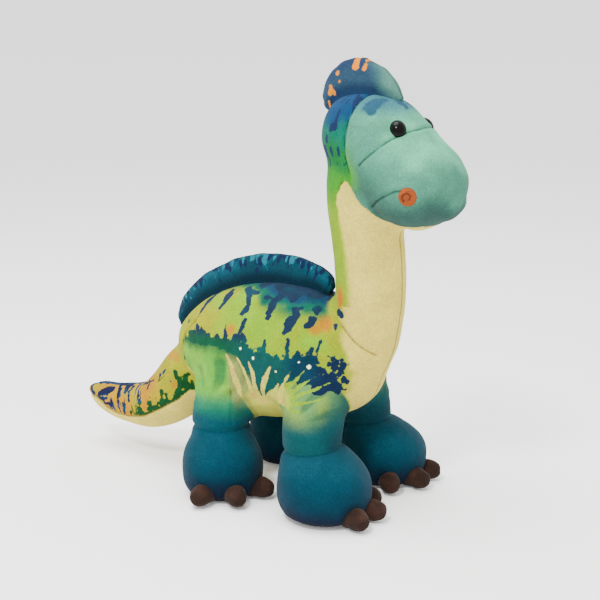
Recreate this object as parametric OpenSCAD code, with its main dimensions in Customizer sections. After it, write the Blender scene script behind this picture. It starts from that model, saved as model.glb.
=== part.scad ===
// Stuffed long-necked dinosaur, standing on four legs.
// Every body part is a lofted form along a spine: printed plush panels on the
// outside, fibre stuffing inside.  All sizes in millimetres, +X is forward,
// +Z is up, and the feet stand on z = 0.

/* [Fabric] */
// Thickness of the plush fabric, pile included
fabric_t = 1.8; // [1.2:0.1:2.4]
// Air gap between a fabric panel and the stuffing behind it
stuff_gap = 0.3; // [0.2:0.1:0.8]

/* [Legs and feet] */
// Distance from the centre line to each foot
foot_y = 50; // [49:1:53]
// Distance from the centre line to each hip
hip_y = 36; // [35:0.5:38]
// Radius of the leg at the ankle
leg_r = 23; // [21:0.5:23.5]
// Radius of the ball at the top of each leg
hip_r = 25; // [24:0.5:25.5]
// Length of one claw
claw_len = 21; // [16:1:24]
// Radius of one claw
claw_r = 9.5; // [7:0.5:11]

/* [Face] */
// Radius of the eye's dome
eye_r = 6; // [5:0.5:8]
// Radius of the eye's post behind the fabric
post_r = 1.6; // [1.2:0.1:2]
// Radius of the stitched nostril patch
nostril_r = 8; // [6:0.5:9]

/* [Crests] */
// Half of the back crest's thickness
crest_half = 8; // [6:0.5:10]
// Half of the head crest's thickness
topknot_half = 10; // [7:0.5:12]

/* [Joint clearances] */
// Clearance round each soft joint's ball
ball_gap = 0.8; // [0.6:0.1:1.2]

/* [Hidden] */

/* ---------- spines ----------
   Each station is [x, z, lean, half width, back height, belly height].
   lean is the forward direction's angle above horizontal, in the x-z plane. */
TORSO = [
  [-59.4, 104, 48, 12, 11, 12],
  [-54.4, 103, 44, 28, 26, 28],
  [-40.4, 104, 32, 41, 40, 39],
  [-20.4, 108, 14, 50, 52, 49],
  [6.6, 111, 4, 53, 59.5, 54],
  [40.6, 113, 0, 53, 60, 53],
  [68.6, 114, 0, 50, 54.5, 49],
  [92.6, 115, 6, 42, 41, 41],
  [110.6, 118, 12, 28, 27, 27],
  [118.6, 120, 14, 12, 11, 12]
];
NECK = [
  [98.6, 124, 74, 30, 30, 30],
  [104.6, 143, 81, 29, 29, 28.5],
  [108.6, 165, 88, 28, 28, 28],
  [108.6, 188, 91, 28, 28, 28],
  [106.6, 212, 95, 28, 28.5, 28],
  [102.6, 237, 96, 28, 28.5, 28],
  [98.6, 266, 96, 27, 27, 27]
];
HEAD = [
  [73.6, 301, -6, 12, 11, 11],
  [78.6, 300, -10, 25, 24, 24],
  [92.6, 297, -20, 34, 33, 33],
  [110.6, 292, -35, 37, 37, 36],
  [124.6, 281, -42, 39, 37, 36],
  [138.6, 268, -40, 42, 36, 36],
  [154.6, 257, -36, 44, 33, 35],
  [168.6, 249, -34, 37, 25, 29],
  [178.6, 244, -34, 16, 11, 13]
];
TAIL = [
  [-51.4, 95, 50, 28, 28, 28],
  [-67.4, 79, 48, 28, 28, 28],
  [-83.4, 63, 40, 26, 26, 26],
  [-100.4, 50, 24, 24, 24, 23],
  [-118.4, 44, 6, 21, 21, 20],
  [-139.4, 43, -3, 18, 18, 18],
  [-158.4, 44, -8, 15, 15, 15],
  [-172.4, 47, -14, 11, 12, 12],
  [-183.4, 50, -18, 5, 5, 5]
];
// Crest profiles along the spine below them: [where, height], [where, half width as a share]
BACK_RISE = [[0.115, 4], [0.15, 10], [0.2, 15], [0.28, 19], [0.36, 21], [0.44, 23], [0.52, 23], [0.58, 21], [0.63, 18], [0.67, 14]];
BACK_WIDE = [[0.115, 0.55], [0.15, 0.85], [0.22, 1], [0.58, 1], [0.67, 0.85]];
TOP_RISE = [[0, 8], [0.05, 11], [0.1, 16], [0.15, 23], [0.2, 26], [0.25, 24.5], [0.3, 19], [0.34, 12], [0.365, 6]];
TOP_WIDE = [[0, 0.5], [0.05, 0.8], [0.1, 1], [0.25, 1], [0.34, 0.75], [0.365, 0.5]];
// Feet and legs: hip centre, ankle centre and foot centre in plan, foot radius, ankle radius, toe angle and claw angles from it
FRONT = [79.6, 80.6, 96.6, 37.5, leg_r, -14, [-40, 0, 35]];
HIND = [-6.4, -6.4, -0.4, 33.5, leg_r + 0.3, 40, [-49, -2, 45]];
hip_z = 84;
neck_ball = [NECK[0][0], 0, NECK[0][1]];
head_ball = [NECK[6][0], 0, NECK[6][1]];
tail_ball = [TAIL[0][0], 0, TAIL[0][1]];
around = 24;

/* ---------- lofts ---------- */
function cr(a, b, c, d, t) = 0.5*((2*b) + (c - a)*t + (2*a - 5*b + 4*c - d)*t*t + (3*b - a - 3*c + d)*t*t*t);
function station(S, u) =
  let(n = len(S) - 1, x = min(max(u, 0), 1)*n, i = min(floor(x), n - 1), t = x - i)
  cr(S[max(i - 1, 0)], S[i], S[i + 1], S[min(i + 2, n)], t);
function along(S, n) = [for (i = [0:n]) station(S, i/n)];
// Rounded ends: a ball's rows before or after a station, or a small cushion that closes a loft
function ball_rows(s, r, side, n) = [for (k = [0:n - 1])
  let(a = side < 0 ? 12 + 78*k/n : 90 - 78*(k + 1)/n)
  [s[0] + side*r*cos(a)*cos(s[2]), s[1] + side*r*cos(a)*sin(s[2]), s[2], r*sin(a), r*sin(a), r*sin(a)]];
function cushion(s, side) = let(f = side < 0 ? [0.12, 0.6] : [0.6, 0.12])
  [for (k = f) let(d = side*s[3]*(k < 0.5 ? 0.34 : 0.25)) [s[0] + d*cos(s[2]), s[1] + d*sin(s[2]), s[2], k*s[3], k*s[4], k*s[5]]];
// A row's outline: v is 0 on the left, 90 on the back, 180 on the right, 270 on the belly
function rp(s, v) = let(h = (sin(v) >= 0 ? s[4] : s[5])*sin(v)) [s[0] - h*sin(s[2]), s[3]*cos(v), s[1] + h*cos(s[2])];
function grid(rows, m) = [for (s = rows) [for (j = [0:m - 1]) rp(s, 360*j/m)]];
function unit(a) = a/max(norm(a), 1e-9);
function nrm(P, i, j) = let(n = len(P) - 1, m = len(P[0]))
  unit(cross(P[i][(j + 1) % m] - P[i][(j + m - 1) % m], P[min(i + 1, n)][j] - P[max(i - 1, 0)][j]));
function inset(P, t) = [for (i = [0:len(P) - 1]) [for (j = [0:len(P[0]) - 1]) P[i][j] - t*nrm(P, i, j)]];
function mean(R) = [for (k = [0:2]) ([for (p = R) p[k]]*[for (p = R) 1])/len(R)];
function flat(P) = [for (R = P) for (p = R) p];

// A closed solid from a grid of rows
module tube(P) {
  n = len(P) - 1;
  m = len(P[0]);
  k = (n + 1)*m;
  polyhedron(
    points = concat(flat(P), [mean(P[0]), mean(P[n])]),
    faces = concat(
      [for (i = [0:n - 1]) for (j = [0:m - 1]) [i*m + j, (i + 1)*m + (j + 1) % m, i*m + (j + 1) % m]],
      [for (i = [0:n - 1]) for (j = [0:m - 1]) [i*m + j, (i + 1)*m + j, (i + 1)*m + (j + 1) % m]],
      [for (j = [0:m - 1]) [k, j, (j + 1) % m]],
      [for (j = [0:m - 1]) [k + 1, n*m + (j + 1) % m, n*m + j]]));
}
// A fabric panel: rows i0 to i1 and columns j0 to j1 of a grid, t thick inwards
module panel(P, t, i0, i1, j0, j1) {
  Q = inset(P, t);
  m = len(P[0]);
  ni = i1 - i0 + 1;
  nj = j1 - j0 + 1;
  k = ni*nj;
  pts = concat(
    [for (i = [i0:i1]) for (j = [j0:j1]) P[i][j % m]],
    [for (i = [i0:i1]) for (j = [j0:j1]) Q[i][j % m]]);
  polyhedron(points = pts, faces = concat(
    [for (i = [0:ni - 2]) for (j = [0:nj - 2]) [i*nj + j, (i + 1)*nj + j + 1, i*nj + j + 1]],
    [for (i = [0:ni - 2]) for (j = [0:nj - 2]) [i*nj + j, (i + 1)*nj + j, (i + 1)*nj + j + 1]],
    [for (i = [0:ni - 2]) for (j = [0:nj - 2]) [k + i*nj + j, k + i*nj + j + 1, k + (i + 1)*nj + j + 1]],
    [for (i = [0:ni - 2]) for (j = [0:nj - 2]) [k + i*nj + j, k + (i + 1)*nj + j + 1, k + (i + 1)*nj + j]],
    [for (i = [0:ni - 2]) let(a = i*nj, b = (i + 1)*nj) each [[k + a, k + b, b], [k + a, b, a]]],
    [for (i = [0:ni - 2]) let(a = i*nj + nj - 1, b = (i + 1)*nj + nj - 1) each [[a, b, k + a], [b, k + b, k + a]]],
    [for (j = [0:nj - 2]) each [[k + j, j, j + 1], [k + j, j + 1, k + j + 1]]],
    [for (j = [0:nj - 2]) let(a = (ni - 1)*nj + j) each [[k + a, k + a + 1, a + 1], [k + a, a + 1, a]]]));
}

// A fabric sleeve all the way round, open at both ends
module sleeve(P, t, i0, i1) {
  Q = inset(P, t);
  m = len(P[0]);
  ni = i1 - i0 + 1;
  k = ni*m;
  polyhedron(points = concat([for (i = [i0:i1]) each P[i]], [for (i = [i0:i1]) each Q[i]]), faces = concat(
    [for (i = [0:ni - 2]) for (j = [0:m - 1]) [i*m + j, (i + 1)*m + (j + 1) % m, i*m + (j + 1) % m]],
    [for (i = [0:ni - 2]) for (j = [0:m - 1]) [i*m + j, (i + 1)*m + j, (i + 1)*m + (j + 1) % m]],
    [for (i = [0:ni - 2]) for (j = [0:m - 1]) [k + i*m + j, k + i*m + (j + 1) % m, k + (i + 1)*m + (j + 1) % m]],
    [for (i = [0:ni - 2]) for (j = [0:m - 1]) [k + i*m + j, k + (i + 1)*m + (j + 1) % m, k + (i + 1)*m + j]],
    [for (j = [0:m - 1]) each [[k + j, j, (j + 1) % m], [k + j, (j + 1) % m, k + (j + 1) % m]]],
    [for (j = [0:m - 1]) let(a = (ni - 1)*m + j, b = (ni - 1)*m + (j + 1) % m) each [[k + a, k + b, b], [k + a, b, a]]]));
}

/* ---------- grids ---------- */
stuff = fabric_t + stuff_gap;
torso_n = 18;
torso_rows = concat(cushion(TORSO[0], -1), along(TORSO, torso_n), cushion(TORSO[9], 1));
torso_grid = grid(torso_rows, around);
torso_last = len(torso_rows) - 1;
neck_rows = concat(ball_rows(NECK[0], NECK[0][3], -1, 4), along(NECK, 12), ball_rows(NECK[6], NECK[6][3], 1, 4));
neck_grid = grid(neck_rows, around);
neck_last = len(neck_rows) - 1;
head_rows = concat(cushion(HEAD[0], -1), along(HEAD, 16), cushion(HEAD[8], 1));
head_grid = grid(head_rows, around);
head_last = len(head_rows) - 1;
crown_last = 9;
// The tail's table runs backwards, so its rows are taken from the tip
tail_rows = concat(cushion(TAIL[8], -1), [for (i = [13:-1:0]) station(TAIL, i/13)], ball_rows(TAIL[0], TAIL[0][3], 1, 4));
tail_grid = grid(tail_rows, around);
tail_last = len(tail_rows) - 1;

// Crest rows stand on a loft's back line
function back_line(S, u) = rp(station(S, u), 90);
function crest_row(S, u, rise, wide, half) =
  let(p = back_line(S, u), a = back_line(S, u + 0.01), b = back_line(S, max(u - 0.01, 0)), l = atan2(a[2] - b[2], a[0] - b[0]))
  [p[0] - 0.4*sin(l), p[2] + 0.4*cos(l), l, half*lookup(u, wide), lookup(u, rise), 2];
function crest_grid(S, u0, u1, n, rise, wide, half) =
  grid([for (i = [0:n]) crest_row(S, u0 + (u1 - u0)*i/n, rise, wide, half)], around);
back_grid = crest_grid(TORSO, 0.115, 0.67, 16, BACK_RISE, BACK_WIDE, crest_half);
top_grid = crest_grid(HEAD, 0, 0.365, 11, TOP_RISE, TOP_WIDE, topknot_half);
function upper_half(P, t) = let(Q = inset(P, t), n = len(P) - 1) [for (i = [1:n - 1]) [for (j = [0:around/2]) Q[i][j]]];

// Legs: level rows from the sole up to the ball in the hip, as [x, y, z, radius]
leg_around = 18;
function mix(a, b, t) = a + (b - a)*t;
LEG_Z = [1.8, 4.5, 9, 16, 25, 34, 42, 48, 53, 57];
LEG_R = [0.64, 0.81, 0.925, 0.985, 1, 0.96, 0.865, 0.76, 0.66, 0];
LEG_F = [1, 1, 1, 1, 1, 0.95, 0.75, 0.5, 0.22, 0];
function leg_rows(L) = concat(
  [for (i = [0:9]) [mix(L[1], L[2], LEG_F[i]), mix(hip_y + 7, foot_y, LEG_F[i]), LEG_Z[i], i == 9 ? L[4] : max(L[3]*LEG_R[i], L[4] + 0.4)]],
  [[L[1], hip_y + 6, 63, L[4] + 0.4], [mix(L[0], L[1], 0.5), hip_y + 3.5, 71, mix(L[4] + 0.4, hip_r, 0.6)], [L[0], hip_y + 1, 78, hip_r - 0.15]],
  [for (a = [0, 22, 42, 60, 76]) [L[0], hip_y, hip_z + hip_r*sin(a), hip_r*cos(a)]]);
function leg_grid(L) = [for (s = leg_rows(L)) [for (j = [0:leg_around - 1]) [s[0] + s[3]*cos(360*j/leg_around), s[1] + s[3]*sin(360*j/leg_around), s[2]]]];
ankle_row = 9;
leg_last = 17;

/* ---------- clearances for the soft joints ---------- */
// A ball's socket with a flared mouth along a direction in the x-z plane
module socket(c, r, lean, swing, reach, $fn = 48) {
  translate(c) {
    sphere(r = r + ball_gap);
    rotate([0, 90 - lean, 0]) cylinder(h = reach, r1 = 0.985*(r + ball_gap), r2 = 0.985*(r + ball_gap) + 0.5 + reach*sin(swing));
  }
}
module neck_socket() {
  socket(neck_ball, NECK[0][3], 84, 7, 75);
  socket(neck_ball, NECK[0][3], -12, 0, 70);
}
module tail_socket() socket(tail_ball, TAIL[0][3], 230, 11, 70);
module hip_sockets() for (L = [FRONT, HIND]) for (s = [-1, 1]) socket([L[0], s*hip_y, hip_z], hip_r, 270, 7, 75);
module head_socket() socket(head_ball, NECK[6][3], 278, 9, 60);

/* ---------- torso ---------- */
module left_to_right() mirror([0, 1, 0]) children();
module torso_side() difference() {
  panel(torso_grid, fabric_t, 0, torso_last, 21, 30);
  neck_socket();
  tail_socket();
  hip_sockets();
}
module torso_panel_left() color([0.72, 0.78, 0.2]) torso_side();
module torso_panel_right() color([0.72, 0.78, 0.2]) left_to_right() torso_side();
module belly_gusset() color([0.87, 0.82, 0.66]) difference() {
  panel(torso_grid, fabric_t, 0, torso_last, 15, 21);
  neck_socket();
  tail_socket();
  hip_sockets();
}
module torso_stuffing() color([0.95, 0.95, 0.93]) difference() {
  tube(inset(torso_grid, stuff));
  neck_socket();
  tail_socket();
  hip_sockets();
}
module back_crest_side() panel(back_grid, fabric_t, 0, len(back_grid) - 1, 0, 6);
module back_crest_left() color([0.1, 0.5, 0.55]) back_crest_side();
module back_crest_right() color([0.1, 0.5, 0.55]) left_to_right() back_crest_side();
module back_crest_stuffing() color([0.95, 0.95, 0.93]) tube(upper_half(back_grid, stuff));

/* ---------- neck ---------- */
module neck_side() panel(neck_grid, fabric_t, 0, neck_last, 21, 30);
module throat_side() panel(neck_grid, fabric_t, 0, neck_last, 18, 21);
module neck_panel_left() color([0.45, 0.68, 0.3]) neck_side();
module neck_panel_right() color([0.45, 0.68, 0.3]) left_to_right() neck_side();
module throat_panel_left() color([0.88, 0.82, 0.66]) left_to_right() throat_side();
module throat_panel_right() color([0.88, 0.82, 0.66]) throat_side();
module neck_stuffing() color([0.95, 0.95, 0.93]) tube(inset(neck_grid, stuff));

/* ---------- head ---------- */
// Places its children on the head's left skin at [along, round], with z along the outward normal
module on_head(at) {
  p = rp(station(HEAD, at[0]), at[1]);
  n = unit(cross(rp(station(HEAD, at[0]), at[1] + 2) - rp(station(HEAD, at[0]), at[1] - 2),
                 rp(station(HEAD, at[0] + 0.01), at[1]) - rp(station(HEAD, at[0] - 0.01), at[1])));
  translate(p) rotate([0, acos(n[2]), atan2(n[1], n[0])]) children();
}
eye_at = [0.495, 50];
nose_at = [0.79, 2];
washer_r = 4.5;
module eye_shape() on_head(eye_at) rotate_extrude($fn = 40)
  polygon(concat(
    [[0, -5.6], [post_r, -5.6], [post_r, 0.5]],
    [for (a = [0:10:80]) [eye_r*cos(a), 0.5 + 0.72*eye_r*sin(a)]],
    [[0, 0.5 + 0.72*eye_r]]));
module post_hole() on_head(eye_at) translate([0, 0, -fabric_t - 3]) cylinder(h = 8, r = post_r + 0.3, $fn = 40);
module washer_shape() on_head(eye_at) translate([0, 0, -fabric_t - 1.9]) difference() {
  cylinder(h = 1.2, r = washer_r, $fn = 40);
  translate([0, 0, -1]) cylinder(h = 4, r = post_r + 0.15, $fn = 40);
}
module washer_pocket() on_head(eye_at) translate([0, 0, -fabric_t - 4.6]) cylinder(h = 12, r = washer_r + 0.6, $fn = 40);
module crown_side() difference() {
  panel(head_grid, fabric_t, 0, crown_last, 18, 30);
  head_socket();
  post_hole();
}
module muzzle_side() difference() {
  panel(head_grid, fabric_t, crown_last, head_last, 21, 30);
  head_socket();
  post_hole();
}
module crown_panel_left() color([0.2, 0.48, 0.5]) crown_side();
module crown_panel_right() color([0.2, 0.48, 0.5]) left_to_right() crown_side();
module muzzle_panel_left() color([0.38, 0.62, 0.58]) muzzle_side();
module muzzle_panel_right() color([0.38, 0.62, 0.58]) left_to_right() muzzle_side();
module chin_panel() color([0.88, 0.83, 0.68]) difference() {
  panel(head_grid, fabric_t, crown_last, head_last, 15, 21);
  head_socket();
}
module head_stuffing() color([0.95, 0.95, 0.93]) difference() {
  tube(inset(head_grid, stuff));
  head_socket();
  washer_pocket();
  left_to_right() washer_pocket();
}
module head_crest_side() panel(top_grid, fabric_t, 0, len(top_grid) - 1, 0, 6);
module head_crest_left() color([0.1, 0.35, 0.5]) head_crest_side();
module head_crest_right() color([0.1, 0.35, 0.5]) left_to_right() head_crest_side();
module head_crest_stuffing() color([0.95, 0.95, 0.93]) tube(upper_half(top_grid, stuff));
module eye_left() color([0.03, 0.03, 0.03]) eye_shape();
module eye_right() color([0.03, 0.03, 0.03]) left_to_right() eye_shape();
module eye_washer_left() color([0.8, 0.8, 0.78]) washer_shape();
module eye_washer_right() color([0.8, 0.8, 0.78]) left_to_right() washer_shape();
module nostril_shape() on_head(nose_at) translate([0, 0, 0.15]) rotate_extrude($fn = 40)
  polygon([[0, 0], [nostril_r, 0], [nostril_r, 0.9], [nostril_r - 0.8, 1.5], [nostril_r - 3, 1.5], [nostril_r - 4.2, 0.8], [0, 0.8]]);
module nostril_left() color([0.78, 0.42, 0.2]) nostril_shape();
module nostril_right() color([0.78, 0.42, 0.2]) left_to_right() nostril_shape();

/* ---------- tail ---------- */
module tail_side() panel(tail_grid, fabric_t, 0, tail_last, 21, 30);
module tail_panel_left() color([0.75, 0.62, 0.2]) tail_side();
module tail_panel_right() color([0.75, 0.62, 0.2]) left_to_right() tail_side();
module tail_underside() color([0.88, 0.82, 0.66]) panel(tail_grid, fabric_t, 0, tail_last, 15, 21);
module tail_stuffing() color([0.95, 0.95, 0.93]) tube(inset(tail_grid, stuff));

/* ---------- legs ---------- */
sole_r = 21;
module left_or_right(side) if (side > 0) children(); else mirror([0, 1, 0]) children();
module leg_sleeve(L, side) left_or_right(side) sleeve(leg_grid(L), fabric_t, ankle_row, leg_last);
module foot_cover(L, side) left_or_right(side) sleeve(leg_grid(L), fabric_t, 0, ankle_row);
module sole(L, side) left_or_right(side) translate([L[2], foot_y, 0]) cylinder(h = 1.7, r = sole_r, $fn = 60);
module leg_stuffing(L, side) left_or_right(side) tube(inset(leg_grid(L), stuff));
module claws(L, side) left_or_right(side) difference() {
  for (a = L[6]) translate([L[2], foot_y, claw_r + 0.7]) rotate([0, 0, L[5] + a])
    translate([L[3] - 9, 0, 0]) rotate([0, 3, 0]) claw_base();
  tube(leg_grid(L));
}
module claw_base() rotate([0, 90, 0]) rotate_extrude($fn = 32)
  polygon(concat([[0, 0], [claw_r, 0]], [for (a = [0:15:75]) [claw_r*cos(a), claw_len - claw_r*1.15 + claw_r*1.15*sin(a)]], [[0, claw_len]]));
module front_left_leg_sleeve() color([0.25, 0.52, 0.5]) leg_sleeve(FRONT, 1);
module front_left_foot_cover() color([0.03, 0.33, 0.42]) foot_cover(FRONT, 1);
module front_left_sole() color([0.02, 0.2, 0.32]) sole(FRONT, 1);
module front_left_claws() color([0.35, 0.22, 0.19]) claws(FRONT, 1);
module front_left_stuffing() color([0.95, 0.95, 0.93]) leg_stuffing(FRONT, 1);
module front_right_leg_sleeve() color([0.25, 0.52, 0.5]) leg_sleeve(FRONT, -1);
module front_right_foot_cover() color([0.03, 0.33, 0.42]) foot_cover(FRONT, -1);
module front_right_sole() color([0.02, 0.2, 0.32]) sole(FRONT, -1);
module front_right_claws() color([0.35, 0.22, 0.19]) claws(FRONT, -1);
module front_right_stuffing() color([0.95, 0.95, 0.93]) leg_stuffing(FRONT, -1);
module hind_left_leg_sleeve() color([0.25, 0.52, 0.5]) leg_sleeve(HIND, 1);
module hind_left_foot_cover() color([0.03, 0.33, 0.42]) foot_cover(HIND, 1);
module hind_left_sole() color([0.02, 0.2, 0.32]) sole(HIND, 1);
module hind_left_claws() color([0.35, 0.22, 0.19]) claws(HIND, 1);
module hind_left_stuffing() color([0.95, 0.95, 0.93]) leg_stuffing(HIND, 1);
module hind_right_leg_sleeve() color([0.25, 0.52, 0.5]) leg_sleeve(HIND, -1);
module hind_right_foot_cover() color([0.03, 0.33, 0.42]) foot_cover(HIND, -1);
module hind_right_sole() color([0.02, 0.2, 0.32]) sole(HIND, -1);
module hind_right_claws() color([0.35, 0.22, 0.19]) claws(HIND, -1);
module hind_right_stuffing() color([0.95, 0.95, 0.93]) leg_stuffing(HIND, -1);

torso_panel_left();
torso_panel_right();
belly_gusset();
torso_stuffing();
back_crest_left();
back_crest_right();
back_crest_stuffing();
neck_panel_left();
neck_panel_right();
throat_panel_left();
throat_panel_right();
neck_stuffing();
crown_panel_left();
crown_panel_right();
muzzle_panel_left();
muzzle_panel_right();
chin_panel();
head_stuffing();
head_crest_left();
head_crest_right();
head_crest_stuffing();
eye_left();
eye_right();
eye_washer_left();
eye_washer_right();
nostril_left();
nostril_right();
tail_panel_left();
tail_panel_right();
tail_underside();
tail_stuffing();
front_left_leg_sleeve();
front_left_foot_cover();
front_left_sole();
front_left_claws();
front_left_stuffing();
front_right_leg_sleeve();
front_right_foot_cover();
front_right_sole();
front_right_claws();
front_right_stuffing();
hind_left_leg_sleeve();
hind_left_foot_cover();
hind_left_sole();
hind_left_claws();
hind_left_stuffing();
hind_right_leg_sleeve();
hind_right_foot_cover();
hind_right_sole();
hind_right_claws();
hind_right_stuffing();
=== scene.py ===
import bpy, bmesh, math
import numpy as np
from mathutils import Vector, Matrix
from mathutils.bvhtree import BVHTree
from mathutils.kdtree import KDTree


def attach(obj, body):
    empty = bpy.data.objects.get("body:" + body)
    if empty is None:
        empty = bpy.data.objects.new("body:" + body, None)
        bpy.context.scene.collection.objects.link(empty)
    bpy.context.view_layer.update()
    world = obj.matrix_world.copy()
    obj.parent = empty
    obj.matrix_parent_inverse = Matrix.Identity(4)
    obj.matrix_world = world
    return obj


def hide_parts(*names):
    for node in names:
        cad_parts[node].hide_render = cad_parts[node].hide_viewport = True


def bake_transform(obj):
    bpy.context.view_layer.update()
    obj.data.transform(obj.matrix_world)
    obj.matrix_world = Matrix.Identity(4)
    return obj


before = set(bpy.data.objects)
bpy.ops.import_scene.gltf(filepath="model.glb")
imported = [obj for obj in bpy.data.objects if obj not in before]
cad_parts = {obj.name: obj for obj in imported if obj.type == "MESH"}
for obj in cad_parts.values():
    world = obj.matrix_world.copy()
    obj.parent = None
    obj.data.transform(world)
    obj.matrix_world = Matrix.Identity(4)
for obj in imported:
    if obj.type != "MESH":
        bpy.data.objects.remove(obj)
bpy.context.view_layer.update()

# ------------------------------------------------------------------ helpers
MM = 0.001
rng = np.random.default_rng(7)


def smooth(a, b, x):
    t = np.clip((np.asarray(x, float) - a) / (b - a), 0, 1)
    return t * t * (3 - 2 * t)


def mix(a, b, t):
    t = np.asarray(t)
    if np.ndim(a) or np.ndim(b):
        t = t[..., None] if np.ndim(t) else t
    return a + (b - a) * t


_perm = rng.random((64, 64, 64))


def noise(p, scale, seed=0.0):
    """Smooth value noise, -1..1, at points p (mm) with features of about `scale` mm."""
    q = np.asarray(p, float) / scale + 17.3 + seed * 7.77
    i = np.floor(q).astype(int)
    f = q - i
    f = f * f * (3 - 2 * f)
    out = 0
    for dx in (0, 1):
        for dy in (0, 1):
            for dz in (0, 1):
                w = (f[:, 0] if dx else 1 - f[:, 0]) * (f[:, 1] if dy else 1 - f[:, 1]) * (f[:, 2] if dz else 1 - f[:, 2])
                out = out + w * _perm[(i[:, 0] + dx) % 64, (i[:, 1] + dy) % 64, (i[:, 2] + dz) % 64]
    return out * 2 - 1


def seg_dist(P, line):
    """Distance from points P to a polyline, any dimension."""
    line = np.asarray(line, float)
    best = np.full(len(P), 1e9)
    for a, b in zip(line[:-1], line[1:]):
        d = b - a
        t = np.clip(((P - a) @ d) / max(d @ d, 1e-9), 0, 1)
        best = np.minimum(best, np.linalg.norm(P - a - t[:, None] * d, axis=1))
    return best


# ------------------------------------------------------------------ spines, as in the CAD (mm)
DX = -2.4
TORSO = np.array([[-57, 104, 48, 12, 11, 12], [-52, 103, 44, 28, 26, 28], [-38, 104, 32, 41, 40, 39], [-18, 108, 14, 50, 52, 49],
                  [9, 111, 4, 53, 59.5, 54], [43, 113, 0, 53, 60, 53], [71, 114, 0, 50, 54.5, 49], [95, 115, 6, 42, 41, 41],
                  [113, 118, 12, 28, 27, 27], [121, 120, 14, 12, 11, 12]], float)
NECK = np.array([[101, 124, 74, 30, 30, 30], [107, 143, 81, 29, 29, 28.5], [111, 165, 88, 28, 28, 28], [111, 188, 91, 28, 28, 28],
                 [109, 212, 95, 28, 28.5, 28], [105, 237, 96, 28, 28.5, 28], [101, 266, 96, 27, 27, 27]], float)
HEAD = np.array([[76, 301, -6, 12, 11, 11], [81, 300, -10, 25, 24, 24], [95, 297, -20, 34, 33, 33], [113, 292, -35, 37, 37, 36],
                 [127, 281, -42, 39, 37, 36], [141, 268, -40, 42, 36, 36], [157, 257, -36, 44, 33, 35], [171, 249, -34, 37, 25, 29],
                 [181, 244, -34, 16, 11, 13]], float)
TAIL = np.array([[-49, 95, 50, 28, 28, 28], [-65, 79, 48, 28, 28, 28], [-81, 63, 40, 26, 26, 26], [-98, 50, 24, 24, 24, 23],
                 [-116, 44, 6, 21, 21, 20], [-137, 43, -3, 18, 18, 18], [-156, 44, -8, 15, 15, 15], [-170, 47, -14, 11, 12, 12],
                 [-181, 50, -18, 5, 5, 5]], float)
for T in (TORSO, NECK, HEAD, TAIL):
    T[:, 0] += DX
HIP_Y, HIP_Z, FOOT_Y = 36.0, 84.0, 50.0
# hip x, ankle x, foot x, foot radius, ankle radius, toe angle, claw angles
FRONT = [82 + DX, 83 + DX, 99 + DX, 37.5, 23.0, -14, [-40, 0, 35]]
HIND = [-4 + DX, -4 + DX, 2 + DX, 33.5, 23.3, 40, [-49, -2, 45]]


def station(S, u):
    n = len(S) - 1
    x = np.clip(np.atleast_1d(u), 0, 1) * n
    i = np.minimum(np.floor(x).astype(int), n - 1)
    t = (x - i)[:, None]
    a, b, c, d = S[np.maximum(i - 1, 0)], S[i], S[i + 1], S[np.minimum(i + 2, n)]
    return 0.5 * ((2 * b) + (c - a) * t + (2 * a - 5 * b + 4 * c - d) * t * t + (3 * b - a - 3 * c + d) * t ** 3)


def rings(rows, m):
    v = np.radians(np.arange(m) * 360 / m)
    s, c = np.sin(v)[None], np.cos(v)[None]
    h = np.where(s >= 0, rows[:, 4:5], rows[:, 5:6]) * s
    L = np.radians(rows[:, 2:3])
    return np.stack([rows[:, 0:1] - h * np.sin(L), rows[:, 3:4] * c, rows[:, 1:2] + h * np.cos(L)], -1)


def cap_rows(s, side, bulge, n=5):
    """Rows that close a loft with a rounded end, nearest the station first."""
    out = []
    for k in range(1, n + 1):
        a = math.radians(88 * k / n)
        d = side * bulge * math.sin(a)
        out.append([s[0] + d * math.cos(math.radians(s[2])), s[1] + d * math.sin(math.radians(s[2])), s[2]] + list(s[3:6] * math.cos(a)))
    return np.array(out)


def tube_mesh(G):
    """Vertices and quads of a closed tube from a grid of rings."""
    n, m, _ = G.shape
    V = [tuple(p) for R in G for p in R]
    F = [(i * m + j, i * m + (j + 1) % m, (i + 1) * m + (j + 1) % m, (i + 1) * m + j) for i in range(n - 1) for j in range(m)]
    V += [tuple(G[0].mean(0)), tuple(G[-1].mean(0))]
    k = n * m
    F += [(k, (j + 1) % m, j) for j in range(m)]
    F += [(k + 1, (n - 1) * m + j, (n - 1) * m + (j + 1) % m) for j in range(m)]
    return V, F


def loft(S, nu, nv, b0, b1):
    rows = station(S, np.linspace(0, 1, nu))
    return rings(np.vstack([cap_rows(S[0], -1, b0)[::-1], rows, cap_rows(S[-1], 1, b1)]), nv)


LEG_Z = [0.4, 1.6, 4, 8, 15, 25, 34, 42, 48, 53, 57.5]
LEG_R = [0.60, 0.70, 0.82, 0.92, 0.985, 1, 0.965, 0.87, 0.76, 0.655, 0]
LEG_F = [1, 1, 1, 1, 1, 1, 0.95, 0.75, 0.5, 0.22, 0]


def leg_rows(L):
    rows = []
    for i in range(len(LEG_Z)):
        t = LEG_F[i]
        rows.append([mix(L[1], L[2], t), mix(HIP_Y + 7, FOOT_Y, t), LEG_Z[i], L[4] if i == len(LEG_Z) - 1 else max(L[3] * LEG_R[i], L[4] + 0.4)])
    rows += [[L[1], HIP_Y + 6, 64, L[4] + 0.9], [mix(L[0], L[1], 0.5), HIP_Y + 3.5, 72, 24.6], [L[0], HIP_Y + 1, 79, 25.2]]
    for a in (0, 22, 42, 60, 76, 86):
        rows.append([L[0], HIP_Y, HIP_Z + 25.2 * math.sin(math.radians(a)), 25.2 * math.cos(math.radians(a))])
    return np.array(rows)


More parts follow.
